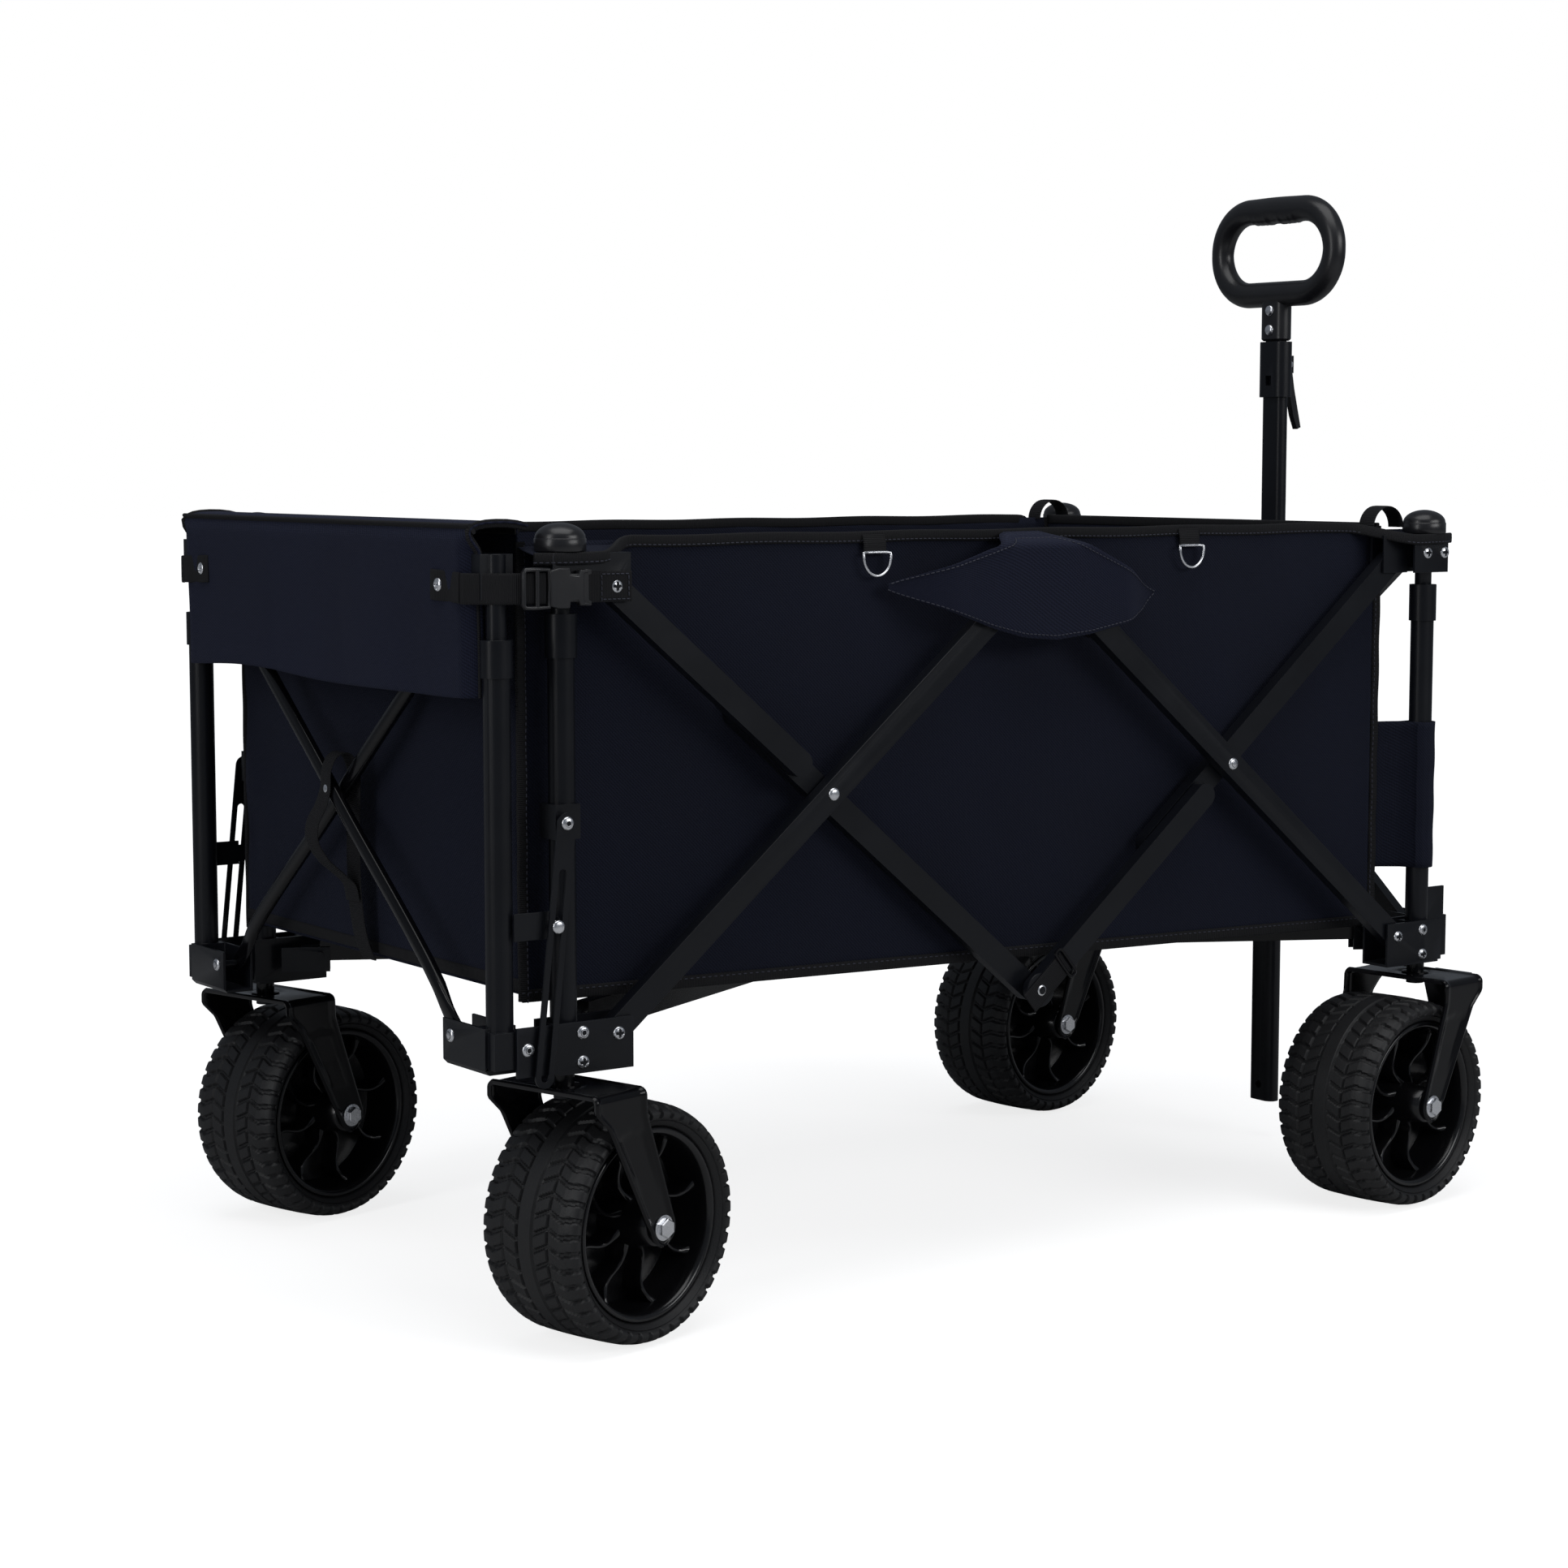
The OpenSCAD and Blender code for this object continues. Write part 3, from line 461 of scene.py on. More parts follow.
def copies_tree():
    """Nodes that set a template on every point, turned by the point's own angles."""
    tree = bpy.data.node_groups.new("set_copies", "GeometryNodeTree")
    face = tree.interface
    face.new_socket("Points", in_out="INPUT", socket_type="NodeSocketGeometry")
    face.new_socket("Template", in_out="INPUT", socket_type="NodeSocketObject")
    face.new_socket("Finish", in_out="INPUT", socket_type="NodeSocketMaterial")
    size = face.new_socket("Size", in_out="INPUT", socket_type="NodeSocketFloat")
    size.default_value = 1.0
    face.new_socket("Copies", in_out="OUTPUT", socket_type="NodeSocketGeometry")
    start = tree.nodes.new("NodeGroupInput")
    finish = tree.nodes.new("NodeGroupOutput")
    template = tree.nodes.new("GeometryNodeObjectInfo")
    turn = tree.nodes.new("GeometryNodeInputNamedAttribute")
    turn.data_type = "FLOAT_VECTOR"
    turn.inputs["Name"].default_value = "turn"
    place = tree.nodes.new("GeometryNodeInstanceOnPoints")
    solid = tree.nodes.new("GeometryNodeRealizeInstances")
    paint = tree.nodes.new("GeometryNodeSetMaterial")
    link = tree.links.new
    link(start.outputs["Points"], place.inputs["Points"])
    link(start.outputs["Template"], template.inputs["Object"])
    link(template.outputs["Geometry"], place.inputs["Instance"])
    link(turn.outputs["Attribute"], place.inputs["Rotation"])
    link(start.outputs["Size"], place.inputs["Scale"])
    link(place.outputs["Instances"], solid.inputs["Geometry"])
    link(solid.outputs["Geometry"], paint.inputs["Geometry"])
    link(start.outputs["Finish"], paint.inputs["Material"])
    link(paint.outputs["Geometry"], finish.inputs["Copies"])
    return tree


set_copies = copies_tree()


def spread(name, template_mesh, spots, finish, body, slot_name, smooth=35.0):
    """One piece made of copies of a template at spots of (place, matrix of turn)."""
    points = bpy.data.meshes.new(name + "_points")
    points.from_pydata([place for place, _ in spots], [], [])
    turns = points.attributes.new("turn", "FLOAT_VECTOR", "POINT")
    turns.data.foreach_set("vector", [c for _, turn in spots for c in turn.to_euler()])
    template = bpy.data.objects.new(name + "_template", template_mesh)
    bpy.context.scene.collection.objects.link(template)
    holder = bpy.data.objects.new(name + "_holder", points)
    bpy.context.scene.collection.objects.link(holder)
    nodes = holder.modifiers.new("copies", "NODES")
    nodes.node_group = set_copies
    sockets = {item.name: item.identifier for item in set_copies.interface.items_tree
               if item.in_out == "INPUT"}
    nodes[sockets["Template"]] = template
    nodes[sockets["Finish"]] = finish
    nodes[sockets["Size"]] = 1.0
    bpy.context.view_layer.update()
    ready = holder.evaluated_get(bpy.context.evaluated_depsgraph_get())
    mesh = bpy.data.meshes.new_from_object(ready)
    mesh.name = name
    bpy.data.objects.remove(holder)
    bpy.data.objects.remove(template)
    return show(name, mesh, finish, body, smooth)


def facing(direction):
    """The turn that points +Z along a direction."""
    return Vector(direction).to_track_quat("Z", "Y").to_matrix()


rivet_head = head_mesh("rivet_head", 0.0056, 0.0027, "plain")
dimpled_head = head_mesh("dimpled_head", 0.0056, 0.0027, "dimple")
screw_head = head_mesh("screw_head", 0.0056, 0.0027, "cross")


def at_corner(end, u, v, z):
    """A point given inward from a post: u along the length, v along the width."""
    sx, sy = ends[end]
    return Vector((sx * (post_x - u), sy * (post_y - v), z))


for end, (sx, sy) in ends.items():
    out = facing((0, sy, 0))
    low_screws = [(at_corner(end, 0.042, -0.0165, 0.258), out),
                  (at_corner(end, 0.008, -0.0165, 0.238), out)]
    if sx < 0:
        low_rivets = [(at_corner(end, 0.008, -0.0165, 0.262), out),
                      (at_corner(end, -0.043, -0.0165, 0.253), out),
                      (at_corner(end, -0.008, -0.0214, 0.432), out)]
        top_screws = [(at_corner(end, 0.042, -0.0165, 0.618), out)]
    else:
        low_rivets = [(at_corner(end, 0.008, -0.0165, 0.262), out),
                      (at_corner(end, -0.027, 0.0, 0.250), out),
                      (at_corner(end, -0.042, 0.053, 0.258), facing((1, 0, 0)))]
        top_screws = [(at_corner(end, 0.012, -0.0165, 0.628), out),
                      (at_corner(end, -0.011, -0.0165, 0.628), out),
                      (at_corner(end, -0.042, 0.053, 0.618), facing((1, 0, 0)))]
    spread("low_screws_" + end, screw_head, low_screws, zinc, "corner_" + end, "black_steel")
    spread("low_rivets_" + end, dimpled_head, low_rivets, zinc, "corner_" + end, "black_steel")
    spread("top_screws_" + end, screw_head, top_screws, zinc, "top_" + end, "black_steel")

for side, sy in (("r", -1), ("l", 1)):
    out = facing((0, sy, 0))
    rise = arm_low + arm_rise / 2
    face_y = sy * (post_y + 0.013)
    peak_z = arm_low + full_span * math.sin(arm_slope)
    dip_z = arm_low + arm_rise - full_span * math.sin(arm_slope)
    spread("arm_rivets_a1_" + side, rivet_head,
           [((-arm_pivot_x + 0.217, face_y, rise), out), ((0.0, face_y, peak_z), out)],
           zinc, "arm_a1_" + side, "black_steel")
    spread("arm_rivets_b1_" + side, rivet_head, [((0.0, face_y, dip_z), out)],
           zinc, "arm_b1_" + side, "black_steel")
    spread("arm_rivets_a2_" + side, rivet_head,
           [((arm_pivot_x - 0.217, face_y, rise), out)], zinc, "arm_a2_" + side, "black_steel")
    end = "r" + side
    spread("gate_rivets_" + side, rivet_head,
           [((-0.5607, sy * 0.217, 0.258), facing((-1, 0, 0)))],
           zinc, "tail_post_" + side, "black_steel")
    spread("stay_rivet_" + side, rivet_head,
           [(at_corner(end, -0.017, -0.0214, 0.350), out)],
           zinc, "stay_pin_" + side, "black_steel")
spread("gate_middle_rivet", rivet_head, [((-0.5567, 0.0, 0.438), facing((-1, 0, 0)))],
       zinc, "tail_arm_1", "black_steel")

# ---------------------------------------------------------------- forks
# Each swivel fork is one stamped plate folded down over the wheel, with a
# rolled lip round its edge and a shallow arch pressed in each leg. Gloss black.
rear_turn, front_turn = math.radians(15.0), math.radians(188.0)
axle_back, axle_z, leg_out, plate_top = 0.052, 0.100, 0.060, 0.218
sheet = 0.0035


def wheel_place(end):
    """Where a fork stands: its own X runs from the swivel axis to the axle."""
    sx, sy = ends[end]
    return (Matrix.Translation((sx * post_x, sy * post_y, 0.0))
            @ Matrix.Rotation(rear_turn if sx < 0 else front_turn, 4, "Z"))


def between(value, table):
    """A value read from a table of (key, value) pairs with rising keys."""
    for (k0, v0), (k1, v1) in zip(table, table[1:]):
        if value <= k1:
            return v0 + (v1 - v0) * max(0.0, value - k0) / (k1 - k0)
    return table[-1][1]


def leg_edges(z):
    """The back and front edges of a fork leg at a height."""
    back = between(z, ((0.093, 0.0385), (0.190, -0.012), (0.204, -0.027), (0.218, -0.027)))
    front = between(z, ((0.104, 0.0664), (0.196, 0.034), (0.218, 0.033)))
    if z < axle_z + 0.004:
        half = math.sqrt(max(0.0, 0.015 ** 2 - min(0.0, z - axle_z) ** 2))
        share = min(1.0, (axle_z + 0.004 - z) / 0.008)
        back = back * (1 - share) + (axle_back - half) * share
        front = front * (1 - share) + (axle_back + half) * share
    return back, front


def fork_path():
    """(across, height, outward) down from the middle of the plate to a leg's end."""
    bend = 0.006
    path = [(leg_out * 0.0 + k * (leg_out - bend) / 14, plate_top, (0.0, 1.0))
            for k in range(14)]
    for k in range(9):
        turn = math.pi / 2 * k / 8
        path.append((leg_out - bend + bend * math.sin(turn),
                     plate_top - bend + bend * math.cos(turn),
                     (math.sin(turn), math.cos(turn))))
    drop = plate_top - bend - (axle_z - 0.0149)
    for k in range(1, 61):
        t = k / 60
        path.append((leg_out, plate_top - bend - drop * (1 - (1 - t) ** 1.5), (1.0, 0.0)))
    return path


def pressed_height(t, z, back, front):
    """How far the sheet is pressed out at a point: a rolled lip and an arched hollow."""
    rim = min(t - back, front - t)
    lip = 0.0016 * math.exp(-((rim - 0.0028) / 0.0022) ** 2)
    arch_mid = 0.5 * (back + front)
    top = 0.186 - 0.3 * abs(t - arch_mid - 0.002) ** 1.3 * 3.0
    hollow = 0.0
    if z < top and rim > 0.0075:
        inside = min((top - z) / 0.003, (rim - 0.0075) / 0.003, 1.0)
        fade = min(1.0, max(0.0, (z - 0.128) / 0.03))
        hollow = -0.0014 * inside * inside * (3 - 2 * inside) * fade
    return lip + hollow


half_path = fork_path()
full_path = [(-w, z, (-n[0], n[1])) for w, z, n in reversed(half_path[1:])] + half_path
for end in ends:
    place = wheel_place(end)
    rows = []
    for across, z, out in full_path:
        back, front = leg_edges(min(z, plate_top))
        row = []
        for k in range(31):
            share = 0.5 - 0.5 * math.cos(math.pi * k / 30)
            t = back + (front - back) * share
            if z > plate_top - 0.0001:
                rim = min(t - back, front - t)
                lift = 0.0014 * math.exp(-((rim - 0.003) / 0.0024) ** 2)
                lift -= 0.0016 * math.exp(-((math.hypot(t, across)) / 0.016) ** 6)
            else:
                lift = pressed_height(t, z, back, front)
            row.append(place @ Vector((t, across + out[0] * lift, z + out[1] * lift)))
        rows.append(row)
    mesh = skin("fork_" + end, rows)
    turned_faces = bmesh.new()
    turned_faces.from_mesh(mesh)
    turned_faces.faces.ensure_lookup_table()
    middle = min(turned_faces.faces, key=lambda f: -f.calc_center_median().z)
    if middle.normal.z < 0:
        bmesh.ops.reverse_faces(turned_faces, faces=turned_faces.faces)
    turned_faces.to_mesh(mesh)
    turned_faces.free()
    fork = show("fork_" + end, mesh, gloss_black, "caster_" + end, 50.0)
    thick = fork.modifiers.new("sheet", "SOLIDIFY")
    thick.thickness = sheet
    thick.offset = -1.0
    round_edges(fork, 0.0007, 2, 50.0)
    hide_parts("fork_" + end)
    spin = place @ Matrix.Translation((axle_back, 0.0, axle_z)) @ Matrix.Rotation(
        math.radians(90), 4, "X")
    bolt_profile = [(0.004, -0.066), (0.0072, -0.066), (0.0080, -0.0652), (0.0080, -0.0617),
                    (0.0105, -0.0612), (0.0105, -0.0602), (0.004, -0.0600),
                    (0.004, 0.0600), (0.0105, 0.0602), (0.0105, 0.0612), (0.0080, 0.0617),
                    (0.0080, 0.0652), (0.0072, 0.066), (0.004, 0.066)]
    rows = []
    for radius, height in bolt_profile:
        corners = 1.0 if radius not in (0.0072, 0.0080) else 0.0
        row = []
        for s in range(48):
            angle = 2 * math.pi * s / 48
            wedge = (angle + math.pi / 6) % (math.pi / 3) - math.pi / 6
            flat = radius * 0.9 / math.cos(wedge) if not corners else radius
            row.append(spin @ Vector((flat * math.cos(angle), flat * math.sin(angle), height)))
        rows.append(row)
    bolt = outward(skin("axle_bolt_" + end, rows, wrap=True, caps=True))
    show("axle_bolt_" + end, bolt, zinc, "caster_" + end, 30.0)
    collar = turned("swivel_collar_" + end,
                    [(0.0060, 0.2165), (0.0130, 0.2165), (0.0130, 0.2185), (0.0085, 0.2192),
                     (0.0085, 0.2275), (0.0060, 0.2278)], place)
    show("swivel_collar_" + end, collar, gloss_black, "caster_" + end)

# ---------------------------------------------------------------- tyres
# Wide all-terrain tyres: a plain middle rib between thin grooves, rows of
# slanted blocks beside it and rounded lugs over each shoulder. Matte rubber.
pitches = 44
tyre_rubber, _tree, _shader = new_material("tyre_rubber", (0.0085, 0.0085, 0.0095), 0.55)
_where, _tint = mottled(_tree, _shader, (0.0085, 0.0085, 0.0095), 0.52, 40.0, 0.3)
grained(_tree, _shader, _where, 700.0, 0.3, 0.0006)


def soft_step(value, low, high):
    share = min(1.0, max(0.0, (value - low) / (high - low)))
    return share * share * (3 - 2 * share)


def notch(phase, width, edge=0.05):
    """1 inside a groove that starts at phase 0, 0 outside it, with soft sides."""
    phase %= 1.0
    return soft_step(phase, 0.0, edge) * (1 - soft_step(phase, width - edge, width))


def tread_fall(turn, across, radius):
    """How deep the tread is cut at a place on the tyre, in metres."""
    side = 1 if across > 0 else -1
    a = abs(across)
    p = turn * pitches + (0.5 if side < 0 else 0.0)
    cut = 0.0
    if radius > 0.0955:
        cut = 0.0024 * math.exp(-((a - 0.0085) / 0.0011) ** 4)
        cut = max(cut, 0.0022 * math.exp(-((a - 0.0245) / 0.0011) ** 4))
        if 0.0085 < a < 0.0245:
            cut = max(cut, 0.0024 * notch(p + (a - 0.0085) * 32.0, 0.30))
        elif 0.0245 <= a < 0.0375:
            cut = max(cut, 0.0026 * notch(p + 0.5 - (a - 0.0245) * 30.0, 0.32))
        elif a >= 0.0375:
            cut = max(cut, 0.0030 * notch(p + 0.11 + (a - 0.0375) * 12.0, 0.34))
            cut = max(cut, 0.0012 * notch(2 * p + 0.62, 0.12, 0.04))
    elif radius > 0.0870:
        edge = notch(p + 0.11 + 0.12, 0.34)
        end = soft_step(radius, 0.0870, 0.0890)
        cut = 0.0026 * edge * end
    return cut


tyre_profile = [(0.0803, -0.0440), (0.0820, -0.0462), (0.0840, -0.0482), (0.0852, -0.0494),
                (0.0858, -0.0488), (0.0864, -0.0498), (0.0876, -0.0510), (0.0890, -0.0520),
                (0.0905, -0.0524), (0.0920, -0.0523), (0.0934, -0.0515), (0.0946, -0.0502),
                (0.0957, -0.0484), (0.0966, -0.0462), (0.0974, -0.0440), (0.0981, -0.0418),
                (0.0985, -0.0398), (0.0988, -0.0378), (0.0990, -0.0370)]
crown = [-0.0370 + 0.0740 * k / 58 for k in range(1, 58)]
tyre_profile += [(0.1000 - 0.0010 * (abs(w) / 0.037) ** 2.2, w) for w in crown]
tyre_profile += [(r, -w) for r, w in reversed(tyre_profile[:19])]
for end in ends:
    spin = wheel_place(end) @ Matrix.Translation((axle_back, 0.0, axle_z))
    steps = pitches * 12
    rows = []
    for radius, across in tyre_profile:
        row = []
        for s in range(steps):
            turn = s / steps
            fall = tread_fall(turn, across, radius)
            inward = soft_step(radius, 0.0985, 0.0900)
            r = radius - fall * (1 - inward * 0.6)
            w = across - math.copysign(fall * inward, across)
            angle = 2 * math.pi * turn
            row.append(spin @ Vector((r * math.cos(angle), w, r * math.sin(angle))))
        rows.append(row)
    mesh = outward(skin("tyre_" + end, rows + [
        [spin @ Vector((0.0801 * math.cos(2 * math.pi * s / steps), w,
                        0.0801 * math.sin(2 * math.pi * s / steps))) for s in range(steps)]
        for w in (0.030, -0.030)], wrap=True, loop=True))
    tyre = show("tyre_" + end, mesh, tyre_rubber, "wheel_" + end, 40.0)
    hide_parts("tyre_" + end)

# ---------------------------------------------------------------- rims
# Deep-dished moulded rims: a smooth outer lip, a closed dark dish and eight
# thin curved ribs from the hub on each face. Glossy plastic.
rim_gloss, _tree, _shader = new_material("rim_gloss_plastic", (0.006, 0.006, 0.007), 0.2)
_where, _tint = mottled(_tree, _shader, (0.006, 0.006, 0.007), 0.2, 35.0)
grained(_tree, _shader, _where, 600.0, 0.06, 0.0003)
dish = [(0.0044, 0.0555), (0.0150, 0.0555), (0.0165, 0.0540), (0.0178, 0.0400),
        (0.0200, 0.0300), (0.0215, 0.0100), (0.0230, 0.0070), (0.0300, 0.0058),
        (0.0620, 0.0052), (0.0690, 0.0070), (0.0712, 0.0120), (0.0722, 0.0330),
        (0.0730, 0.0410), (0.0742, 0.0440), (0.0760, 0.0458), (0.0785, 0.0462),
        (0.0798, 0.0452), (0.0800, 0.0430)]


def rib_mesh():
    """One thin rib in the wheel's plane, curved like a flat S."""
    rows = []
    for k in range(19):
        share = k / 18
        radius = 0.0170 + 0.0550 * share
        swing = 0.0052 * math.sin(2 * math.pi * (share - 0.04)) + 0.004 * share
        top = 0.0310 - 0.0070 * math.sin(math.pi * share) + 0.001 * share
        half = 0.0017 + 0.0016 * (1 - soft_step(share, 0.0, 0.25)) \
            + 0.0014 * soft_step(share, 0.85, 1.0)
        rows.append([Vector((radius, swing + y, z)) for y, z in (
            (-half, 0.0045), (-half, top - 0.0010), (-half * 0.5, top), (half * 0.5, top),
            (half, top - 0.0010), (half, 0.0045))])
    return outward(skin("rib", rows, wrap=True, caps=True))


rib = rib_mesh()
for end in ends:
    spin = wheel_place(end) @ Matrix.Translation((axle_back, 0.0, axle_z)) @ Matrix.Rotation(
        math.radians(90), 4, "X")
    profile = dish + [(r, -w) for r, w in reversed(dish)]
    rows = [[spin @ Vector((r * math.cos(2 * math.pi * s / 96),
                            r * math.sin(2 * math.pi * s / 96), w)) for s in range(96)]
            for r, w in profile]
    mesh = outward(skin("rim_" + end, rows, wrap=True, loop=True))
    rim = show("rim_" + end, mesh, rim_gloss, "wheel_" + end, 50.0)
    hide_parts("rim_" + end)
    spots = []
    for k in range(8):
        for flip in (0.0, math.pi):
            turn = spin @ Matrix.Rotation(flip, 4, "X") @ Matrix.Rotation(
                2 * math.pi * (k + 0.3) / 8, 4, "Z")
            spots.append((turn.to_translation(), turn.to_3x3()))
    spread("rim_ribs_" + end, rib, spots, rim_gloss, "wheel_" + end, "rim_plastic", 40.0)

# ---------------------------------------------------------------- wheel brakes
# A stamped foot pedal on each front fork turns a curved shoe down onto the
# tyre. Gloss black steel on a bright pin.
for end in ("fr", "fl"):
    eased_steel("brake_" + end, gloss_black, 0.0012)
    place = wheel_place(end)
    for s in (-1, 1):
        ear = [place @ Vector((t, s * 0.024, z)) for t, z in
               ((-0.0268, 0.2125), (-0.0340, 0.2120), (-0.0400, 0.2090), (-0.0400, 0.2070))]
        lug = sweep("brake_ear_%s_%d" % (end, s), ear, (0.012, 0.003),
                    place.to_3x3() @ Vector((0, 1, 0)), 12, 5.0)
        show("brake_ear_%s_%s" % (end, "a" if s < 0 else "b"), lug, gloss_black,
             "caster_" + end)

# ---------------------------------------------------------------- bag sheets
# The open bag is heavy twill-woven polyester, four taut sheets sewn to a bound
# rim and hung inside the frame. Dark navy black with a fine diagonal weave.
bag_back, bag_front, bag_side = -0.5120, 0.4470, 0.2490
rim_height = 0.6535


def woven_cloth(name, colour, roughness, twill, sheen):
    """Twill cloth: diagonal ribs over a fine warp and weft, with slow changes of tint."""
    material, tree, shader = new_material(name, colour, roughness)
    where, tint = mottled(tree, shader, colour, roughness, 9.0, 0.22)
    run = tree.nodes.new("ShaderNodeUVMap")
    run.uv_map = "run"
    heights = []
    for direction, thread in (("DIAGONAL", twill), ("X", twill * 0.5), ("Y", twill * 0.5)):
        wave = tree.nodes.new("ShaderNodeTexWave")
        wave.bands_direction = direction
        wave.inputs["Scale"].default_value = (0.444 if direction == "DIAGONAL"
                                              else 0.314) / thread
        wave.inputs["Distortion"].default_value = 0.6
        wave.inputs["Detail"].default_value = 1.0
        wave.inputs["Detail Scale"].default_value = 0.3
        tree.links.new(run.outputs["UV"], wave.inputs["Vector"])
        heights.append(wave)
    cross = tree.nodes.new("ShaderNodeMath")
    cross.operation = "MULTIPLY"
    tree.links.new(heights[1].outputs["Fac"], cross.inputs[0])
    tree.links.new(heights[2].outputs["Fac"], cross.inputs[1])
    total = tree.nodes.new("ShaderNodeMath")
    total.operation = "MULTIPLY_ADD"
    total.inputs[1].default_value = 0.6
    tree.links.new(heights[0].outputs["Fac"], total.inputs[0])
    tree.links.new(cross.outputs["Value"], total.inputs[2])
    fuzz = tree.nodes.new("ShaderNodeTexNoise")
    fuzz.inputs["Scale"].default_value = 1100.0
    tree.links.new(where.outputs["Object"], fuzz.inputs["Vector"])
    rough = tree.nodes.new("ShaderNodeMath")
    rough.operation = "MULTIPLY_ADD"
    rough.inputs[1].default_value = 0.5
    tree.links.new(fuzz.outputs["Fac"], rough.inputs[0])
    tree.links.new(total.outputs["Value"], rough.inputs[2])
    bump = tree.nodes.new("ShaderNodeBump")
    bump.inputs["Strength"].default_value = 0.7
    bump.inputs["Distance"].default_value = 0.0005
    tree.links.new(rough.outputs["Value"], bump.inputs["Height"])
    tree.links.new(bump.outputs["Normal"], shader.inputs["Normal"])
    ribs = tree.nodes.new("ShaderNodeMixRGB")
    ribs.blend_type = "MULTIPLY"
    ribs.inputs["Color2"].default_value = (0.45, 0.45, 0.5, 1.0)
    tree.links.new(heights[0].outputs["Fac"], ribs.inputs["Fac"])
    tree.links.new(tint.outputs["Color"], ribs.inputs["Color1"])
    tree.links.new(ribs.outputs["Color"], shader.inputs["Base Color"])
    shader.inputs["Sheen Weight"].default_value = sheen
    shader.inputs["Sheen Roughness"].default_value = 0.45
    shader.inputs["Sheen Tint"].default_value = (0.45, 0.5, 0.8, 1.0)
    shader.inputs["Specular IOR Level"].default_value = 0.2
    return material


bag_cloth = woven_cloth("bag_twill", (0.0100, 0.0125, 0.0260), 0.9, 0.0022, 0.05)
flap_cloth = woven_cloth("flap_twill", (0.0128, 0.0158, 0.0350), 0.9, 0.0024, 0.06)
webbing, _tree, _shader = new_material("ribbed_webbing", (0.009, 0.009, 0.0105), 0.75)
_where, _tint = mottled(_tree, _shader, (0.009, 0.009, 0.0105), 0.75, 60.0)
_run = _tree.nodes.new("ShaderNodeUVMap")
_run.uv_map = "run"
_ribs = _tree.nodes.new("ShaderNodeTexWave")
_ribs.inputs["Scale"].default_value = 0.314 / 0.0016
_ribs.inputs["Distortion"].default_value = 1.0
_tree.links.new(_run.outputs["UV"], _ribs.inputs["Vector"])
_bump = _tree.nodes.new("ShaderNodeBump")
_bump.inputs["Strength"].default_value = 0.8
_bump.inputs["Distance"].default_value = 0.0005
_tree.links.new(_ribs.outputs["Fac"], _bump.inputs["Height"])
_tree.links.new(_bump.outputs["Normal"], _shader.inputs["Normal"])
_shader.inputs["Specular IOR Level"].default_value = 0.25


def sheet_of(name, place, across, down, size, thickness, material, body, out):
    """A cloth sheet from place(u, v) on a grid, its face turned toward out."""
    rows = [[place(i / across, j / down) for j in range(down + 1)] for i in range(across + 1)]
    uvs = [[(size[0] * i / across, size[1] * j / down) for j in range(down + 1)]
           for i in range(across + 1)]
    mesh = skin(name, rows, uvs=uvs)
    centre = len(mesh.polygons) // 2
    if mesh.polygons[centre].normal.dot(Vector(out)) < 0:
        mesh.flip_normals()
    piece = show(name, mesh, material, body, 70.0)
    thick = piece.modifiers.new("thickness", "SOLIDIFY")
    thick.thickness = thickness
    thick.offset = -1.0
    return piece


def ripple(x, y, z, amount, scale=9.0):
    """A slow soft wave in cloth, between -amount and amount."""
    return amount * noise.noise(Vector((x * scale, y * scale + 3.7, z * scale * 0.7)))


def calm(share, margin):
    """0 at both ends of a span, 1 away from them."""
    return soft_step(min(share, 1 - share), 0.0, margin)


def hem_height(x):
    return 0.285 + (0.266 - 0.285) * (x - bag_back) / (bag_front - bag_back)


def fold_lengthwise(piece):
    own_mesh(piece)


def fold_crosswise(piece):
    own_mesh(piece)


stitch = outward(skin("stitch", [[Vector((x, r * math.cos(2 * math.pi * s / 6),
                                          r * math.sin(2 * math.pi * s / 6)))
                                  for s in range(6)]
                                 for x, r in ((-0.0016, 0.0002), (-0.0011, 0.0005),
                                              (0.0011, 0.0005), (0.0016, 0.0002))],
                 wrap=True, caps=True))
thread, _tree, _shader = new_material("stitch_thread", (0.03, 0.032, 0.05), 0.6)
_where, _tint = mottled(_tree, _shader, (0.03, 0.032, 0.05), 0.6, 200.0)


def stitches(name, path, pitch, body, lift=(0, 0, 0)):
    """A line of stitches along a path of points."""
    spots, left = [], 0.0
    for a, b in zip(path, path[1:]):
        step = b - a
        length = step.length
        if length < 1e-7:
            continue
        turn = step.to_track_quat("X", "Z").to_matrix()
        while left < length:
            spots.append((a + step * (left / length) + Vector(lift), turn))
            left += pitch
        left -= length
    return spread(name, stitch, spots, thread, body, "woven_cloth", 60.0)


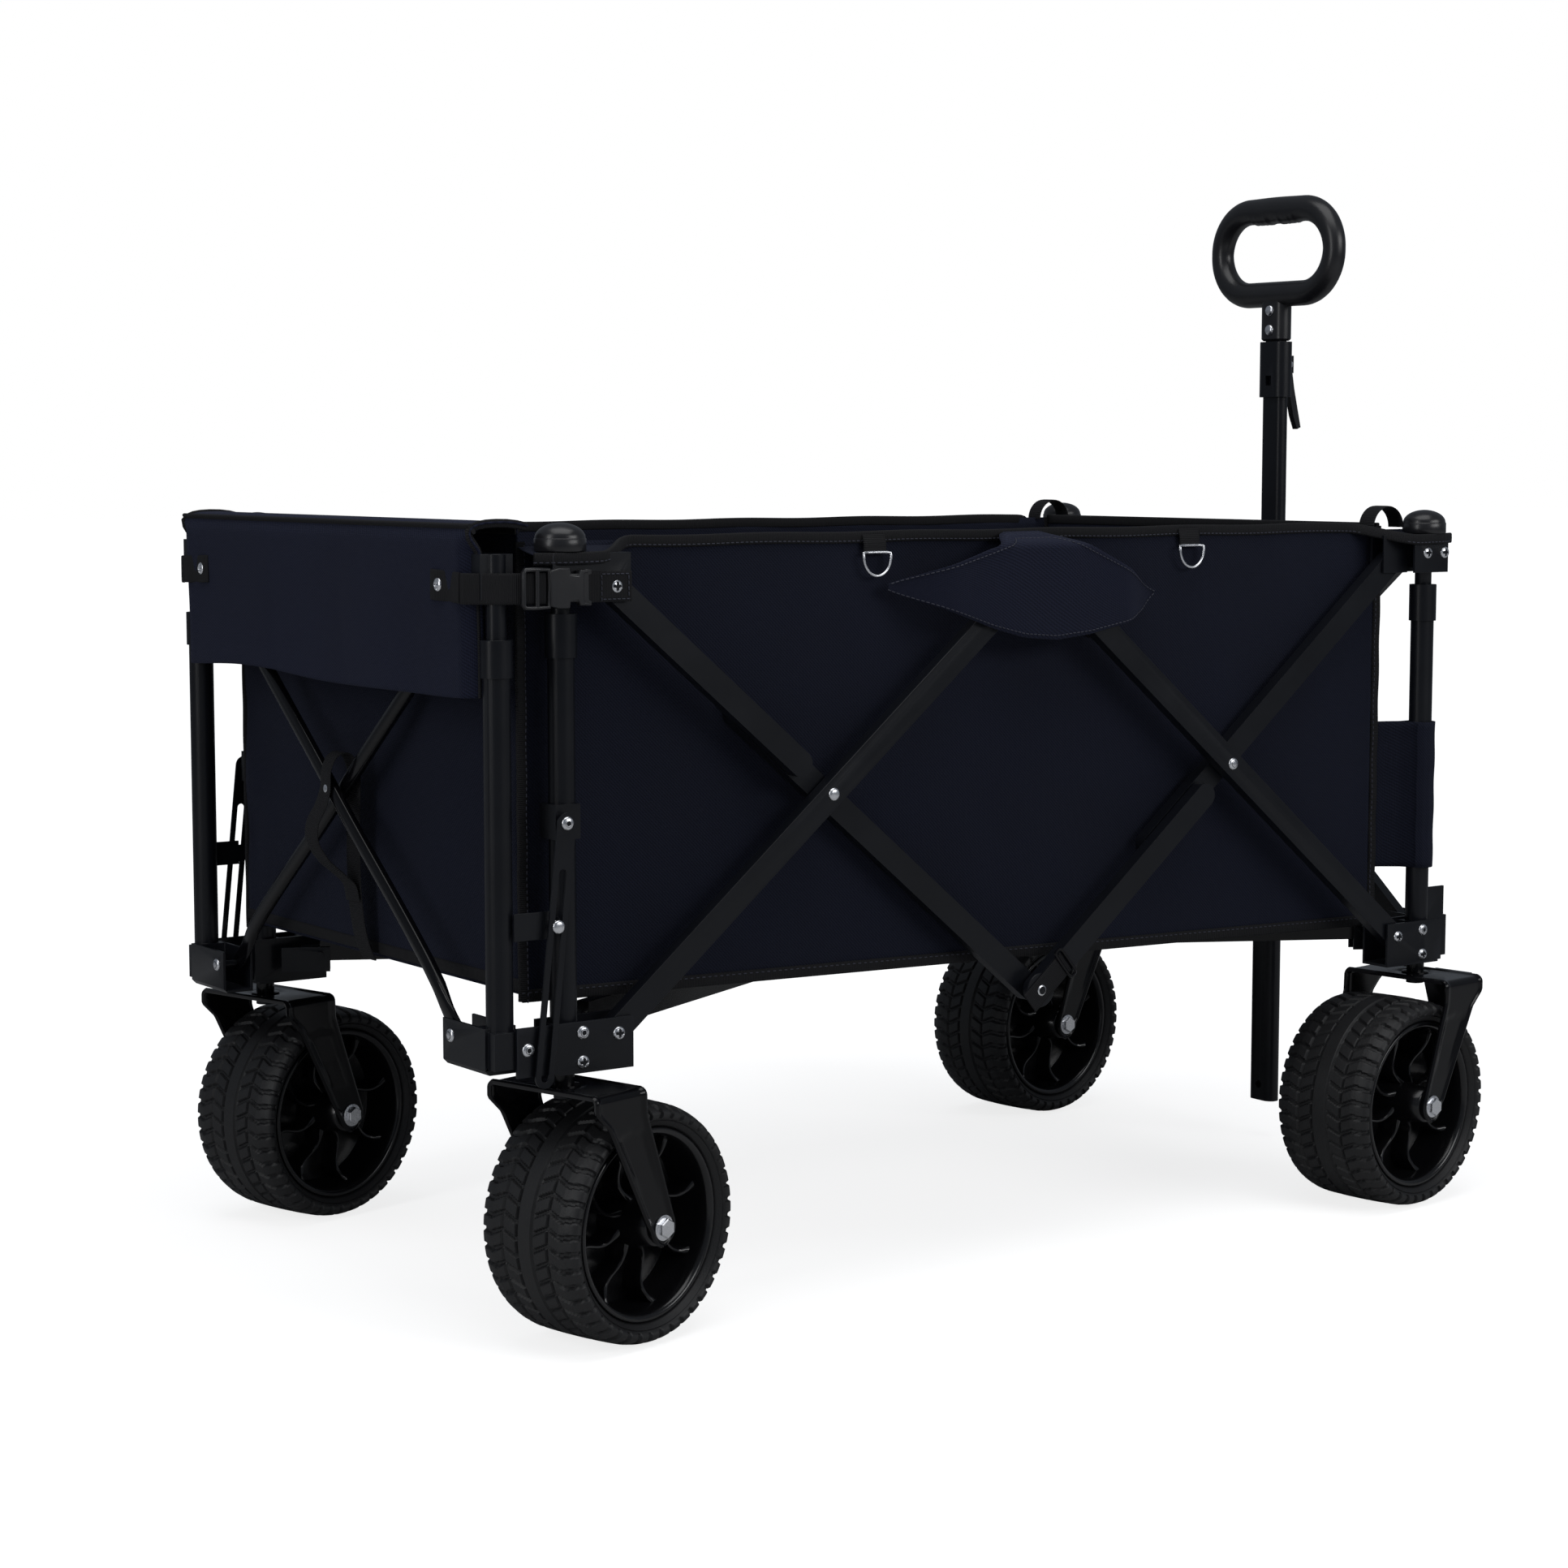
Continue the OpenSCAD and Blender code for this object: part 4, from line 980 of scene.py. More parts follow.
for side, sy in (("r", -1), ("l", 1)):
    body = "top_r" + side

    def side_point(u, v, sy=sy):
        x = bag_back + (bag_front - bag_back) * u
        low = hem_height(x)
        z = low + (rim_height - low) * v
        swell = 0.0014 * math.sin(math.pi * v) * calm(u, 0.2)
        wave = ripple(x, sy * 2.0, z, 0.0030, 7.0) * calm(u, 0.06) * calm(v, 0.12)
        wave += ripple(x, sy * 5.0, z, 0.0012, 23.0) * calm(u, 0.03) * calm(v, 0.05)
        return Vector((x, sy * (bag_side - 0.0012 + min(swell + wave, 0.0035)), z))

    side_sheet = sheet_of("side_sheet_" + side, side_point, 96, 44, (0.959, 0.380), 0.0015,
                          bag_cloth, body, (0, sy, 0))
    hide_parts("side_panel_" + side)
    fold_lengthwise(side_sheet)

    # the bound rim runs level, then swings out over each top bracket
    def rim_point(x, sy=sy, lift=0.0):
        share = max(soft_step(-x, 0.405, 0.462), soft_step(x, 0.405, 0.462))
        past = max(soft_step(-x, 0.492, 0.516), soft_step(x, 0.492, 0.516))
        y = 0.2478 + 0.0405 * share - 0.010 * past
        z = rim_height - 0.0012 - 0.0112 * share + 0.0005 * math.sin(x * 40.0)
        return Vector((x, sy * y, z + lift))

    stations = [-0.516 + 1.030 * k / 160 for k in range(161)]
    band = sweep("rim_band_" + side, [rim_point(x) for x in stations], (0.0100, 0.0040),
                 (0.0, 1.0, 0.0), 12, 4.0)
    rim_band = show("rim_band_" + side, band, webbing, body, 60.0)
    fold_lengthwise(rim_band)
    seam = stitches("rim_stitches_" + side,
                    [rim_point(x, lift=-0.0030) + Vector((0, sy * 0.0021, 0)) for x in stations],
                    0.0048, body)
    fold_lengthwise(seam)
    for tag, x0, x1 in (("back", -0.514, -0.415), ("front", 0.415, 0.512)):
        def patch_point(u, v, x0=x0, x1=x1, sy=sy):
            x = x0 + (x1 - x0) * u
            outer = rim_point(x) + Vector((0, -sy * 0.0005, 0.0030))
            y = 0.2470 + (abs(outer.y) - 0.2470) * v
            z = 0.6500 + (outer.z - 0.6500) * v
            return Vector((x, sy * y, z + 0.0006 * math.sin(x * 90.0) * calm(v, 0.3)))

        patch = sheet_of("rim_corner_%s_%s" % (tag, side), patch_point, 24, 10,
                         (0.099, 0.041), 0.0008, bag_cloth, body, (0, 0, 1))
        fold_lengthwise(patch)
    hem_path = [Vector((x, sy * 0.2482, hem_height(x) + 0.004)) for x in
                [bag_back + 0.959 * k / 100 for k in range(101)]]
    hem_band = show("hem_band_" + side,
                    sweep("hem_band_" + side, hem_path, (0.0105, 0.0036), (0.0, 1.0, 0.0),
                          12, 4.0), webbing, body, 60.0)
    fold_lengthwise(hem_band)
    hem_seam = stitches("hem_stitches_" + side,
                        [p + Vector((0, sy * 0.0019, 0.0028)) for p in hem_path], 0.0060, body)
    fold_lengthwise(hem_seam)
    bands = [rim_band, seam, hem_band, hem_seam]
    for tag, x in (("back", bag_back + 0.001), ("front", bag_front - 0.001)):
        low = hem_height(x)
        edge_path = [Vector((x, sy * (0.2480 + 0.0004 * math.sin(k * 0.7)),
                             low + (rim_height - low) * k / 60)) for k in range(61)]
        edge = show("edge_band_%s_%s" % (tag, side),
                    sweep("edge_band_%s_%s" % (tag, side), edge_path, (0.0090, 0.0040),
                          (0.0, 1.0, 0.0), 12, 4.0), webbing, body, 60.0)
        fold_lengthwise(edge)
        edge_seam = stitches("edge_stitches_%s_%s" % (tag, side),
                             [p + Vector((-0.0030 if x > 0 else 0.0030, sy * 0.0021, 0))
                              for p in edge_path], 0.0052, body)
        fold_lengthwise(edge_seam)
        bands += [edge, edge_seam]

for name, node, body, x, low, top, out, anchor in (
        ("front_sheet", "front_panel", "top_fr", bag_front + 0.0015, 0.280, rim_height, 1,
         0.447),
        ("gate_sheet", "tail_panel", "tail_top_r", bag_back - 0.0015, 0.294, 0.6660, -1,
         -0.512)):
    def end_point(u, v, x=x, low=low, top=top, out=out):
        y = -0.2472 + 0.4944 * u
        z = low + (top - low) * v
        swell = 0.0045 * math.sin(math.pi * u) * math.sin(math.pi * min(1.0, v * 1.05))
        wave = ripple(out * 3.0, y, z, 0.0045, 8.0) * calm(u, 0.1) * calm(v, 0.12)
        pull = -0.0016 * math.exp(-((abs(y) - 0.235) / 0.02) ** 2) * math.sin(z * 55.0) \
            * calm(v, 0.15)
        return Vector((x + out * min(swell + wave + pull, 0.008), y, z))

    end_sheet = sheet_of(name, end_point, 56, 44, (0.494, top - low), 0.0015, bag_cloth,
                         body, (out, 0, 0))
    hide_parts(node)
    fold_crosswise(end_sheet)
    for tag, z, tall in (("top", top - 0.002, 0.0100), ("foot", low + 0.004, 0.0105)):
        line = [Vector((x - out * 0.0006, -0.2470 + 0.4940 * k / 60, z)) for k in range(61)]
        piece = show("%s_%s_band" % (name, tag),
                     sweep("%s_%s_band" % (name, tag), line, (tall, 0.0040), (1.0, 0.0, 0.0),
                           12, 4.0), webbing, body, 60.0)
        fold_crosswise(piece)

# ---------------------------------------------------------------- floor boards
# Two stiff boards covered in the bag's cloth make the floor and fold up along
# the middle. Each is edge-bound and quilted across by sewn channels.
for side, sy in (("r", -1), ("l", 1)):
    rows, uvs = [], []
    across, down = 120, 26
    for face, base in ((1, 0.2908), (-1, 0.2872)):
        for i in range(across + 1):
            x = -0.5078 + 0.9526 * i / across
            row, uv = [], []
            for j in range(down + 1):
                y = 0.0008 + 0.2458 * j / down
                edge = min(x + 0.5078, 0.4448 - x, y - 0.0008, 0.2466 - y)
                crown = 0.0004 * soft_step(edge, 0.0, 0.004)
                channel = 0.0
                for line in (-0.27, -0.03, 0.21):
                    channel += 0.0012 * math.exp(-((x - line) / 0.0035) ** 2)
                row.append(Vector((x, sy * y, base + face * (crown - channel
                                                             - 0.0014 * (1 - soft_step(
                                                                 edge, 0.0, 0.0025))))))
                uv.append((x + 0.51, y))
            rows.append(row if face > 0 else row)
            uvs.append(uv)
    half = across + 1
    top_rows, low_rows = rows[:half], rows[half:]
    ring_rows = [top_rows[i] + low_rows[i][::-1] for i in range(half)]
    ring_uvs = [uvs[i] + uvs[half + i][::-1] for i in range(half)]
    board_mesh = outward(skin("floor_board_" + side, ring_rows, wrap=True, caps=True,
                              uvs=ring_uvs))
    board = show("floor_board_" + side, board_mesh, bag_cloth, "floor_" + side,
                 60.0)
    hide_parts("floor_" + side)
    fold_lengthwise(board)

# ---------------------------------------------------------------- middle flaps
# A leaf-shaped cloth flap hangs from each side's rim over the two arms' upper
# joint, hemmed all round. Webbing tabs beside it hold bright D-rings.
leaf_top = ((-0.155, 0.6120), (-0.022, 0.6545), (0.022, 0.6550), (0.146, 0.5990))
leaf_low = ((-0.155, 0.6065), (-0.100, 0.5860), (-0.060, 0.5720), (-0.025, 0.5630),
            (0.010, 0.5600), (0.050, 0.5640), (0.100, 0.5740), (0.128, 0.5830),
            (0.146, 0.5965))
for side, sy in (("r", -1), ("l", 1)):
    body = "top_r" + side

    def leaf_point(u, v, sy=sy, lift=0.0):
        x = -0.155 + 0.301 * (0.5 - 0.5 * math.cos(math.pi * u))
        high, low = between(x, leaf_top), between(x, leaf_low)
        z = low + (high - low) * v
        near = soft_step(abs(x + 0.004), 0.150, 0.092)
        far = 0.0115 + 0.0265 * near if abs(x) < 0.2 else 0.0
        drop = soft_step(0.6550 - z, 0.0, 0.0120 + 0.018 * (1 - near))
        y = 0.2505 + far * drop + ripple(x, 9.0, z, 0.0015, 16.0) * drop
        return Vector((x, sy * (y + lift), z))

    leaf = sheet_of("leaf_flap_" + side, leaf_point, 60, 26, (0.293, 0.095), 0.0014,
                    flap_cloth, body, (0, sy, 0))
    fold_lengthwise(leaf)
    hem_u = [k / 80 for k in range(81)]
    low_seam = stitches("leaf_stitches_" + side,
                        [leaf_point(u, 0.0 + 0.0035 / 0.09, lift=0.0006) for u in hem_u]
                        + [leaf_point(u, 0.94, lift=0.0006) for u in reversed(hem_u)],
                        0.0045, body)
    fold_lengthwise(low_seam)
    for tag, x in (("back", -0.163), ("front", 0.198)):
        drop = [Vector((x, sy * (0.2505 + 0.0022 * soft_step(k, 0, 3)),
                        0.6540 - 0.0025 * k)) for k in range(7)]
        tab = show("ring_tab_%s_%s" % (tag, side),
                   sweep("ring_tab_%s_%s" % (tag, side), drop, (0.024, 0.0026),
                         (0.0, 1.0, 0.0), 14, 5.0), webbing, body, 60.0)
        bow = []
        for k in range(25):
            angle = math.pi * k / 24
            bow.append(Vector((x + 0.0145 * math.cos(angle), sy * 0.2565,
                               0.6355 - 0.0165 * math.sin(angle))))
        bow = ([Vector((x + 0.0145, sy * 0.2560, 0.6385))] + bow
               + [Vector((x - 0.0145, sy * 0.2560, 0.6385))])
        bow += [Vector((x - 0.0145 + 0.029 * k / 8, sy * 0.2545, 0.6391)) for k in range(1, 8)]
        ring = show("d_ring_%s_%s" % (tag, side),
                    sweep("d_ring_%s_%s" % (tag, side), bow, (0.0026, 0.0026),
                          (0.0, 1.0, 0.0), 12, 2.0, loop=True), zinc, body)
        for piece in (tab, ring):
            fold_lengthwise(piece)

# ---------------------------------------------------------------- gate flap
# A deep flap is turned over the top of the gate and hangs down its back in
# soft shallow folds, bound along its crest and hemmed below.
flap_back, flap_foot = -0.5663, 0.5320
flap_route = [(-0.5115, 0.6655), (-0.5230, 0.6682), (-0.5370, 0.6688), (-0.5500, 0.6682),
              (-0.5590, 0.6665), (-0.5640, 0.6625), (-0.5660, 0.6560)]
flap_route += [(flap_back, 0.6560 - (0.6560 - flap_foot) * k / 30) for k in range(1, 31)]


def flap_point(u, v, lift=0.0):
    y = -0.2620 + 0.5240 * u
    spot = v * (len(flap_route) - 1)
    k = min(int(spot), len(flap_route) - 2)
    t = spot - k
    x = flap_route[k][0] + (flap_route[k + 1][0] - flap_route[k][0]) * t
    z = flap_route[k][1] + (flap_route[k + 1][1] - flap_route[k][1]) * t
    hang = soft_step(0.660 - z, 0.0, 0.1)
    wave = 0.0026 * math.sin(y * 21.0 + 1.2) * hang + ripple(y, 1.0, z, 0.0030, 9.0) * hang
    turn_in = 0.012 * soft_step(abs(y), 0.250, 0.262) * soft_step(0.664 - z, 0.0, 0.02)
    sag = -0.003 * math.sin(math.pi * u * 2.0) * hang
    return Vector((x + 0.0022 * hang - abs(wave) * 0.5 + wave * 0.5 + turn_in - lift,
                   y, z + sag + 0.0012 * (1 - math.cos(y * 24.0)) * hang))


gate_flap = sheet_of("gate_flap", flap_point, 84, 60, (0.524, 0.185), 0.0016, flap_cloth,
                     "tail_top_r", (-1, 0, 0))
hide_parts("tail_flap")
fold_crosswise(gate_flap)
crest = show("gate_flap_crest",
             sweep("gate_flap_crest", [flap_point(k / 80, 0.125, 0.0008) for k in range(81)],
                   (0.0095, 0.0034), (0.8, 0.0, 0.6), 12, 4.0), webbing, "tail_top_r",
             60.0)
foot_seam = stitches("gate_flap_stitches",
                     [flap_point(k / 90, 0.965, 0.0006) for k in range(91)], 0.0050,
                     "tail_top_r")
edges = []
for tag, u in (("r", 0.004), ("l", 0.996)):
    edges.append(show("gate_flap_edge_" + tag,
                      sweep("gate_flap_edge_" + tag,
                            [flap_point(u, k / 50, 0.0004) for k in range(51)],
                            (0.0070, 0.0030), (0.3, 0.954 if u > 0.5 else -0.954, 0.0),
                            12, 4.0), webbing, "tail_top_r", 60.0))
for piece in [crest, foot_seam] + edges:
    fold_crosswise(piece)

# ---------------------------------------------------------------- gate buckles
# A webbing strap comes round each end of the gate flap into a ladder and a
# moulded side-release buckle, whose other half is screwed to the post bracket.
strap_z, strap_wide, strap_thick = 0.618, 0.0245, 0.0014


def plate(name, outline, y0, y1):
    """A flat moulded plate: an outline of (x, z) pairs between two y planes."""
    rows = [[Vector((x, y, z)) for x, z in outline] for y in (y0, y1)]
    return outward(skin(name, rows, wrap=True, caps=True))


def mirrored(outline, z):
    """An upper outline closed by its own mirror image below the height z."""
    return outline + [(px, 2 * z - pz) for px, pz in reversed(outline)]


for side, sy in (("r", -1), ("l", 1)):
    body = "top_r" + side
    on_flap = [Vector((-0.5675 - 0.0012 * math.sin(k * 0.5), sy * (0.205 + 0.0030 * k),
                       strap_z + 0.002 - 0.0001 * k)) for k in range(17)]
    flap_strap = show("flap_strap_" + side,
                      sweep("flap_strap_" + side, on_flap,
                            (strap_wide, strap_thick), (1.0, 0.0, 0.0), 14, 5.0),
                      webbing, "tail_top_r", 60.0)
    fold_crosswise(flap_strap)
    slit_screw = spread("flap_screw_" + side, screw_head,
                        [((-0.5682, sy * 0.218, strap_z + 0.002), facing((-1, 0, 0)))],
                        zinc, "tail_top_r", "black_steel")
    fold_crosswise(slit_screw)
    bend = [(-0.5685, 0.2540), (-0.5680, 0.2600), (-0.5650, 0.2660), (-0.5600, 0.2705),
            (-0.5540, 0.2750), (-0.5470, 0.2800), (-0.5400, 0.2845), (-0.5330, 0.2880),
            (-0.5270, 0.2898), (-0.5200, 0.2905), (-0.5130, 0.2908)]
    run_path = [Vector((x, sy * y, strap_z)) for x, y in bend]
    run_thin = []
    for k, point in enumerate(run_path):
        ahead = run_path[min(k + 1, len(run_path) - 1)] - run_path[max(k - 1, 0)]
        run_thin.append(ahead.cross(Vector((0, 0, 1))).normalized())
    show("buckle_strap_" + side,
         sweep("buckle_strap_" + side, run_path, (strap_wide, strap_thick), run_thin,
               14, 5.0), webbing, body, 60.0)
    ladder_path = []
    for x, z in ((-0.5335, 0.0), (-0.5335, 0.0125), (-0.5320, 0.0148), (-0.5240, 0.0150),
                 (-0.5110, 0.0148), (-0.5100, 0.0), (-0.5110, -0.0148), (-0.5240, -0.0150),
                 (-0.5320, -0.0148), (-0.5335, -0.0125)):
        ladder_path.append(Vector((x, sy * 0.2912, strap_z + z)))
    show("ladder_" + side,
         sweep("ladder_" + side, ladder_path, (0.0034, 0.0050), (0.0, 1.0, 0.0),
               12, 3.0, loop=True), moulded_black, body, 50.0)
    show("ladder_bar_" + side,
         sweep("ladder_bar_" + side,
               [Vector((-0.5215, sy * 0.2916, strap_z - 0.0145 + 0.0029 * k))
                for k in range(11)], (0.0036, 0.0044), (0.0, 1.0, 0.0), 12, 3.0),
         moulded_black, body, 50.0)
    shell_outline = mirrored(
        [(-0.5105, 0.6320), (-0.5030, 0.6338), (-0.4930, 0.6340), (-0.4922, 0.6285),
         (-0.4850, 0.6275), (-0.4832, 0.6322), (-0.4755, 0.6318), (-0.4750, 0.6300),
         (-0.4790, 0.6296), (-0.4800, 0.6280)], strap_z)
    shell = show("buckle_" + side,
                 plate("buckle_" + side, shell_outline, sy * 0.2880, sy * 0.2948),
                 moulded_black, body, 30.0)
    round_edges(shell, 0.0011, 3, 30.0)
    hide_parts("buckle_" + side)
    prong = show("buckle_tongue_" + side,
                 plate("buckle_tongue_" + side,
                       mirrored([(-0.4920, 0.6290), (-0.4790, 0.6290), (-0.4782, 0.6325),
                                 (-0.4722, 0.6322), (-0.4722, 0.6285), (-0.4748, 0.6280)],
                                strap_z), sy * 0.2886, sy * 0.2936),
                 moulded_black, body, 30.0)
    round_edges(prong, 0.0007, 2, 30.0)
    show("bracket_strap_" + side,
         sweep("bracket_strap_" + side,
               [Vector((-0.4795 + 0.0030 * k, sy * (0.2895 - 0.0021 * soft_step(
                   k, 0, 4)), strap_z)) for k in range(17)],
               (strap_wide, 0.0013), (0.0, 1.0, 0.0), 14, 5.0),
         webbing, body, 60.0)
    box_path = [Vector((x, sy * 0.2884, strap_z + z)) for x, z in
                ((-0.4600, -0.0100), (-0.4600, 0.0100), (-0.4345, 0.0100),
                 (-0.4345, -0.0100), (-0.4600, -0.0100))]
    stitches("bracket_strap_stitches_" + side, box_path, 0.0044, body)

# ---------------------------------------------------------------- middle joint tabs
# A short webbing tab is riveted over each side's lower middle joint. A black
# disc shows behind it and a raised lip goes round its upper end.
for side, sy in (("r", -1), ("l", 1)):
    body = "arm_b2_" + side
    joint = Vector((0.0, sy * 0.2838, dip_z))
    along = Vector((math.cos(arm_slope), 0.0, math.sin(arm_slope)))
    tab_path = [joint + along * (-0.0170 + 0.0035 * k)
                - Vector((0, sy * 0.0006 * soft_step(k, 12, 15), 0)) for k in range(16)]
    show("joint_tab_" + side,
         sweep("joint_tab_" + side, tab_path, (0.0215, 0.0015), (0.0, 1.0, 0.0), 14, 5.0),
         webbing, body, 60.0)
    over = Vector((-math.sin(arm_slope), 0.0, math.cos(arm_slope)))
    ring_path = []
    for k in range(32):
        angle = 2 * math.pi * k / 32
        c, s = math.cos(angle), math.sin(angle)
        ring_path.append(joint + along * (0.0350 + 0.0042 * math.copysign(abs(c) ** 0.4, c))
                         + over * (0.0150 * math.copysign(abs(s) ** 0.4, s))
                         + Vector((0, sy * 0.0008, 0)))
    show("joint_loop_" + side,
         sweep("joint_loop_" + side, ring_path, (0.0028, 0.0028), (0.0, 1.0, 0.0), 10, 2.0,
               loop=True), gloss_black, body)
    washer = turned("joint_washer_" + side,
                    [(0.0040, 0.0), (0.0150, 0.0), (0.0155, 0.0005), (0.0150, 0.0010),
                     (0.0040, 0.0012)],
                    Matrix.Translation((0.0, sy * 0.2820, dip_z))
                    @ Matrix.Rotation(math.radians(90 if sy < 0 else -90), 4, "X"))
    show("joint_washer_" + side, washer, satin_black, body)

# ---------------------------------------------------------------- post sleeves
# A cloth sleeve from the bag's front edge wraps each front post. A webbing
# loop stands on the rim behind each front post's dome.
for side, sy in (("r", -1), ("l", 1)):
    loop_plan = [(0.4482, 0.2476), (0.4560, 0.2520), (0.4700, 0.2625), (0.4778, 0.2768)]
    loop_plan += [(post_x + 0.0146 * math.cos(a), post_y + 0.0146 * math.sin(a))
                  for a in [math.radians(145 - 26 * k) for k in range(10)]]
    loop_plan += [(0.4720, 0.2560), (0.4600, 0.2500), (0.4500, 0.2468)]

    def sleeve_point(u, v, sy=sy, plan=loop_plan):
        spot = u * (len(plan) - 1)
        k = min(int(spot), len(plan) - 2)
        t = spot - k
        x = plan[k][0] + (plan[k + 1][0] - plan[k][0]) * t
        y = plan[k][1] + (plan[k + 1][1] - plan[k][1]) * t
        return Vector((x, sy * (y + 0.0004 * math.sin(v * 19.0)), 0.322 + 0.142 * v))

    sleeve = sheet_of("post_sleeve_" + side, sleeve_point, 64, 24, (0.13, 0.142), 0.0008,
                      bag_cloth, "top_f" + side, (0, sy, 0))
    arch = [Vector((0.4300 + 0.0200 - 0.0200 * math.cos(math.pi * k / 20), sy * 0.2490,
                    0.6520 + 0.0200 * math.sin(math.pi * k / 20))) for k in range(21)]
    arch_thin = [(p - Vector((0.4500, sy * 0.2490, 0.6520))).normalized() for p in arch]
    show("rim_loop_" + side,
         sweep("rim_loop_" + side, arch, (0.0200, 0.0016), arch_thin, 14, 5.0),
         webbing, "top_f" + side, 60.0)

# ---------------------------------------------------------------- gate strap
# A webbing strap rises from the gate sheet's hem, loops over the crossing of
# the two gate arms and comes back to itself under the middle rivet.
strap_route = [(-0.5185, 0.000, 0.2880), (-0.5240, 0.000, 0.3000), (-0.5290, 0.000, 0.3200),
               (-0.5315, 0.001, 0.3500), (-0.5322, 0.001, 0.3800), (-0.5324, 0.000, 0.4100),
               (-0.5326, -0.002, 0.4350), (-0.5335, -0.003, 0.4540), (-0.5390, -0.003, 0.4660),
               (-0.5460, -0.002, 0.4690), (-0.5530, -0.001, 0.4650), (-0.5575, 0.000, 0.4540),
               (-0.5582, 0.001, 0.4380), (-0.5600, 0.006, 0.4240), (-0.5650, 0.012, 0.4080),
               (-0.5640, 0.015, 0.3920), (-0.5560, 0.011, 0.3760), (-0.5450, 0.005, 0.3640),
               (-0.5360, 0.002, 0.3540), (-0.5332, 0.001, 0.3400)]
fine_route = []
for k in range(len(strap_route) - 1):
    p0 = Vector(strap_route[max(k - 1, 0)])
    p1, p2 = Vector(strap_route[k]), Vector(strap_route[k + 1])
    p3 = Vector(strap_route[min(k + 2, len(strap_route) - 1)])
    for s in range(6):
        t = s / 6
        fine_route.append(0.5 * ((2 * p1) + (p2 - p0) * t + (2 * p0 - 5 * p1 + 4 * p2 - p3)
                                 * t * t + (3 * p1 - p0 - 3 * p2 + p3) * t ** 3))
fine_route.append(Vector(strap_route[-1]))
route_thin, route_sizes = [], []
for k, point in enumerate(fine_route):
    ahead = fine_route[min(k + 1, len(fine_route) - 1)] - fine_route[max(k - 1, 0)]
    route_thin.append(Vector((0, 1, 0)).cross(ahead).normalized())
    pinch = math.exp(-((k - 66) / 16.0) ** 2)
    route_sizes.append((0.0245 - 0.0070 * pinch, 0.0014))
gate_strap = show("gate_strap",
                  sweep("gate_strap", fine_route, route_sizes, route_thin, 14, 5.0),
                  webbing, "tail_top_r", 60.0)
fold_crosswise(gate_strap)

# ---------------------------------------------------------------- pull handle
# An oval steel sleeve hangs in front of the cross on a hanger plate, with a
# sliding middle tube, a latch collar with its lever, and an oval loop grip.
handle_x = 0.547
for node in ("handle_bracket", "handle_sleeve", "handle_pole"):
    eased_steel(node, satin_black, 0.0012)
eased_steel("handle_lever", moulded_black, 0.0012)
spread("hanger_rivets", rivet_head,
       [((handle_x, -0.0212, 0.240), facing((0, -1, 0))),
        ((handle_x, 0.0212, 0.240), facing((0, 1, 0)))], zinc, "handle_bracket",
       "black_steel")
spread("collar_rivets", head_mesh("small_head", 0.0036, 0.0018, "plain"),
       [((handle_x + 0.014, -0.0072, 0.815), facing((0, -1, 0))),
        ((handle_x + 0.014, 0.0072, 0.815), facing((0, 1, 0)))], zinc, "handle_pole",
       "black_steel")


def oval_tube(name, thick, wide, z0, z1, rounding=0.0012):
    """A flat-sided oval tube standing on the handle's axis, its ends eased."""
    rows = []
    for z, shrink in ((z0, rounding), (z0 + rounding, 0.0), (z1 - rounding, 0.0),
                      (z1, rounding)):
        row = []
        for s in range(48):
            angle = 2 * math.pi * s / 48
            r = thick / 2 - shrink
            row.append(Vector((handle_x + r * math.cos(angle),
                               math.copysign((wide - thick) / 2, math.sin(angle) or 1)
                               + r * math.sin(angle), z)))
        rows.append(row)
    return outward(skin(name, rows, wrap=True, caps=True))


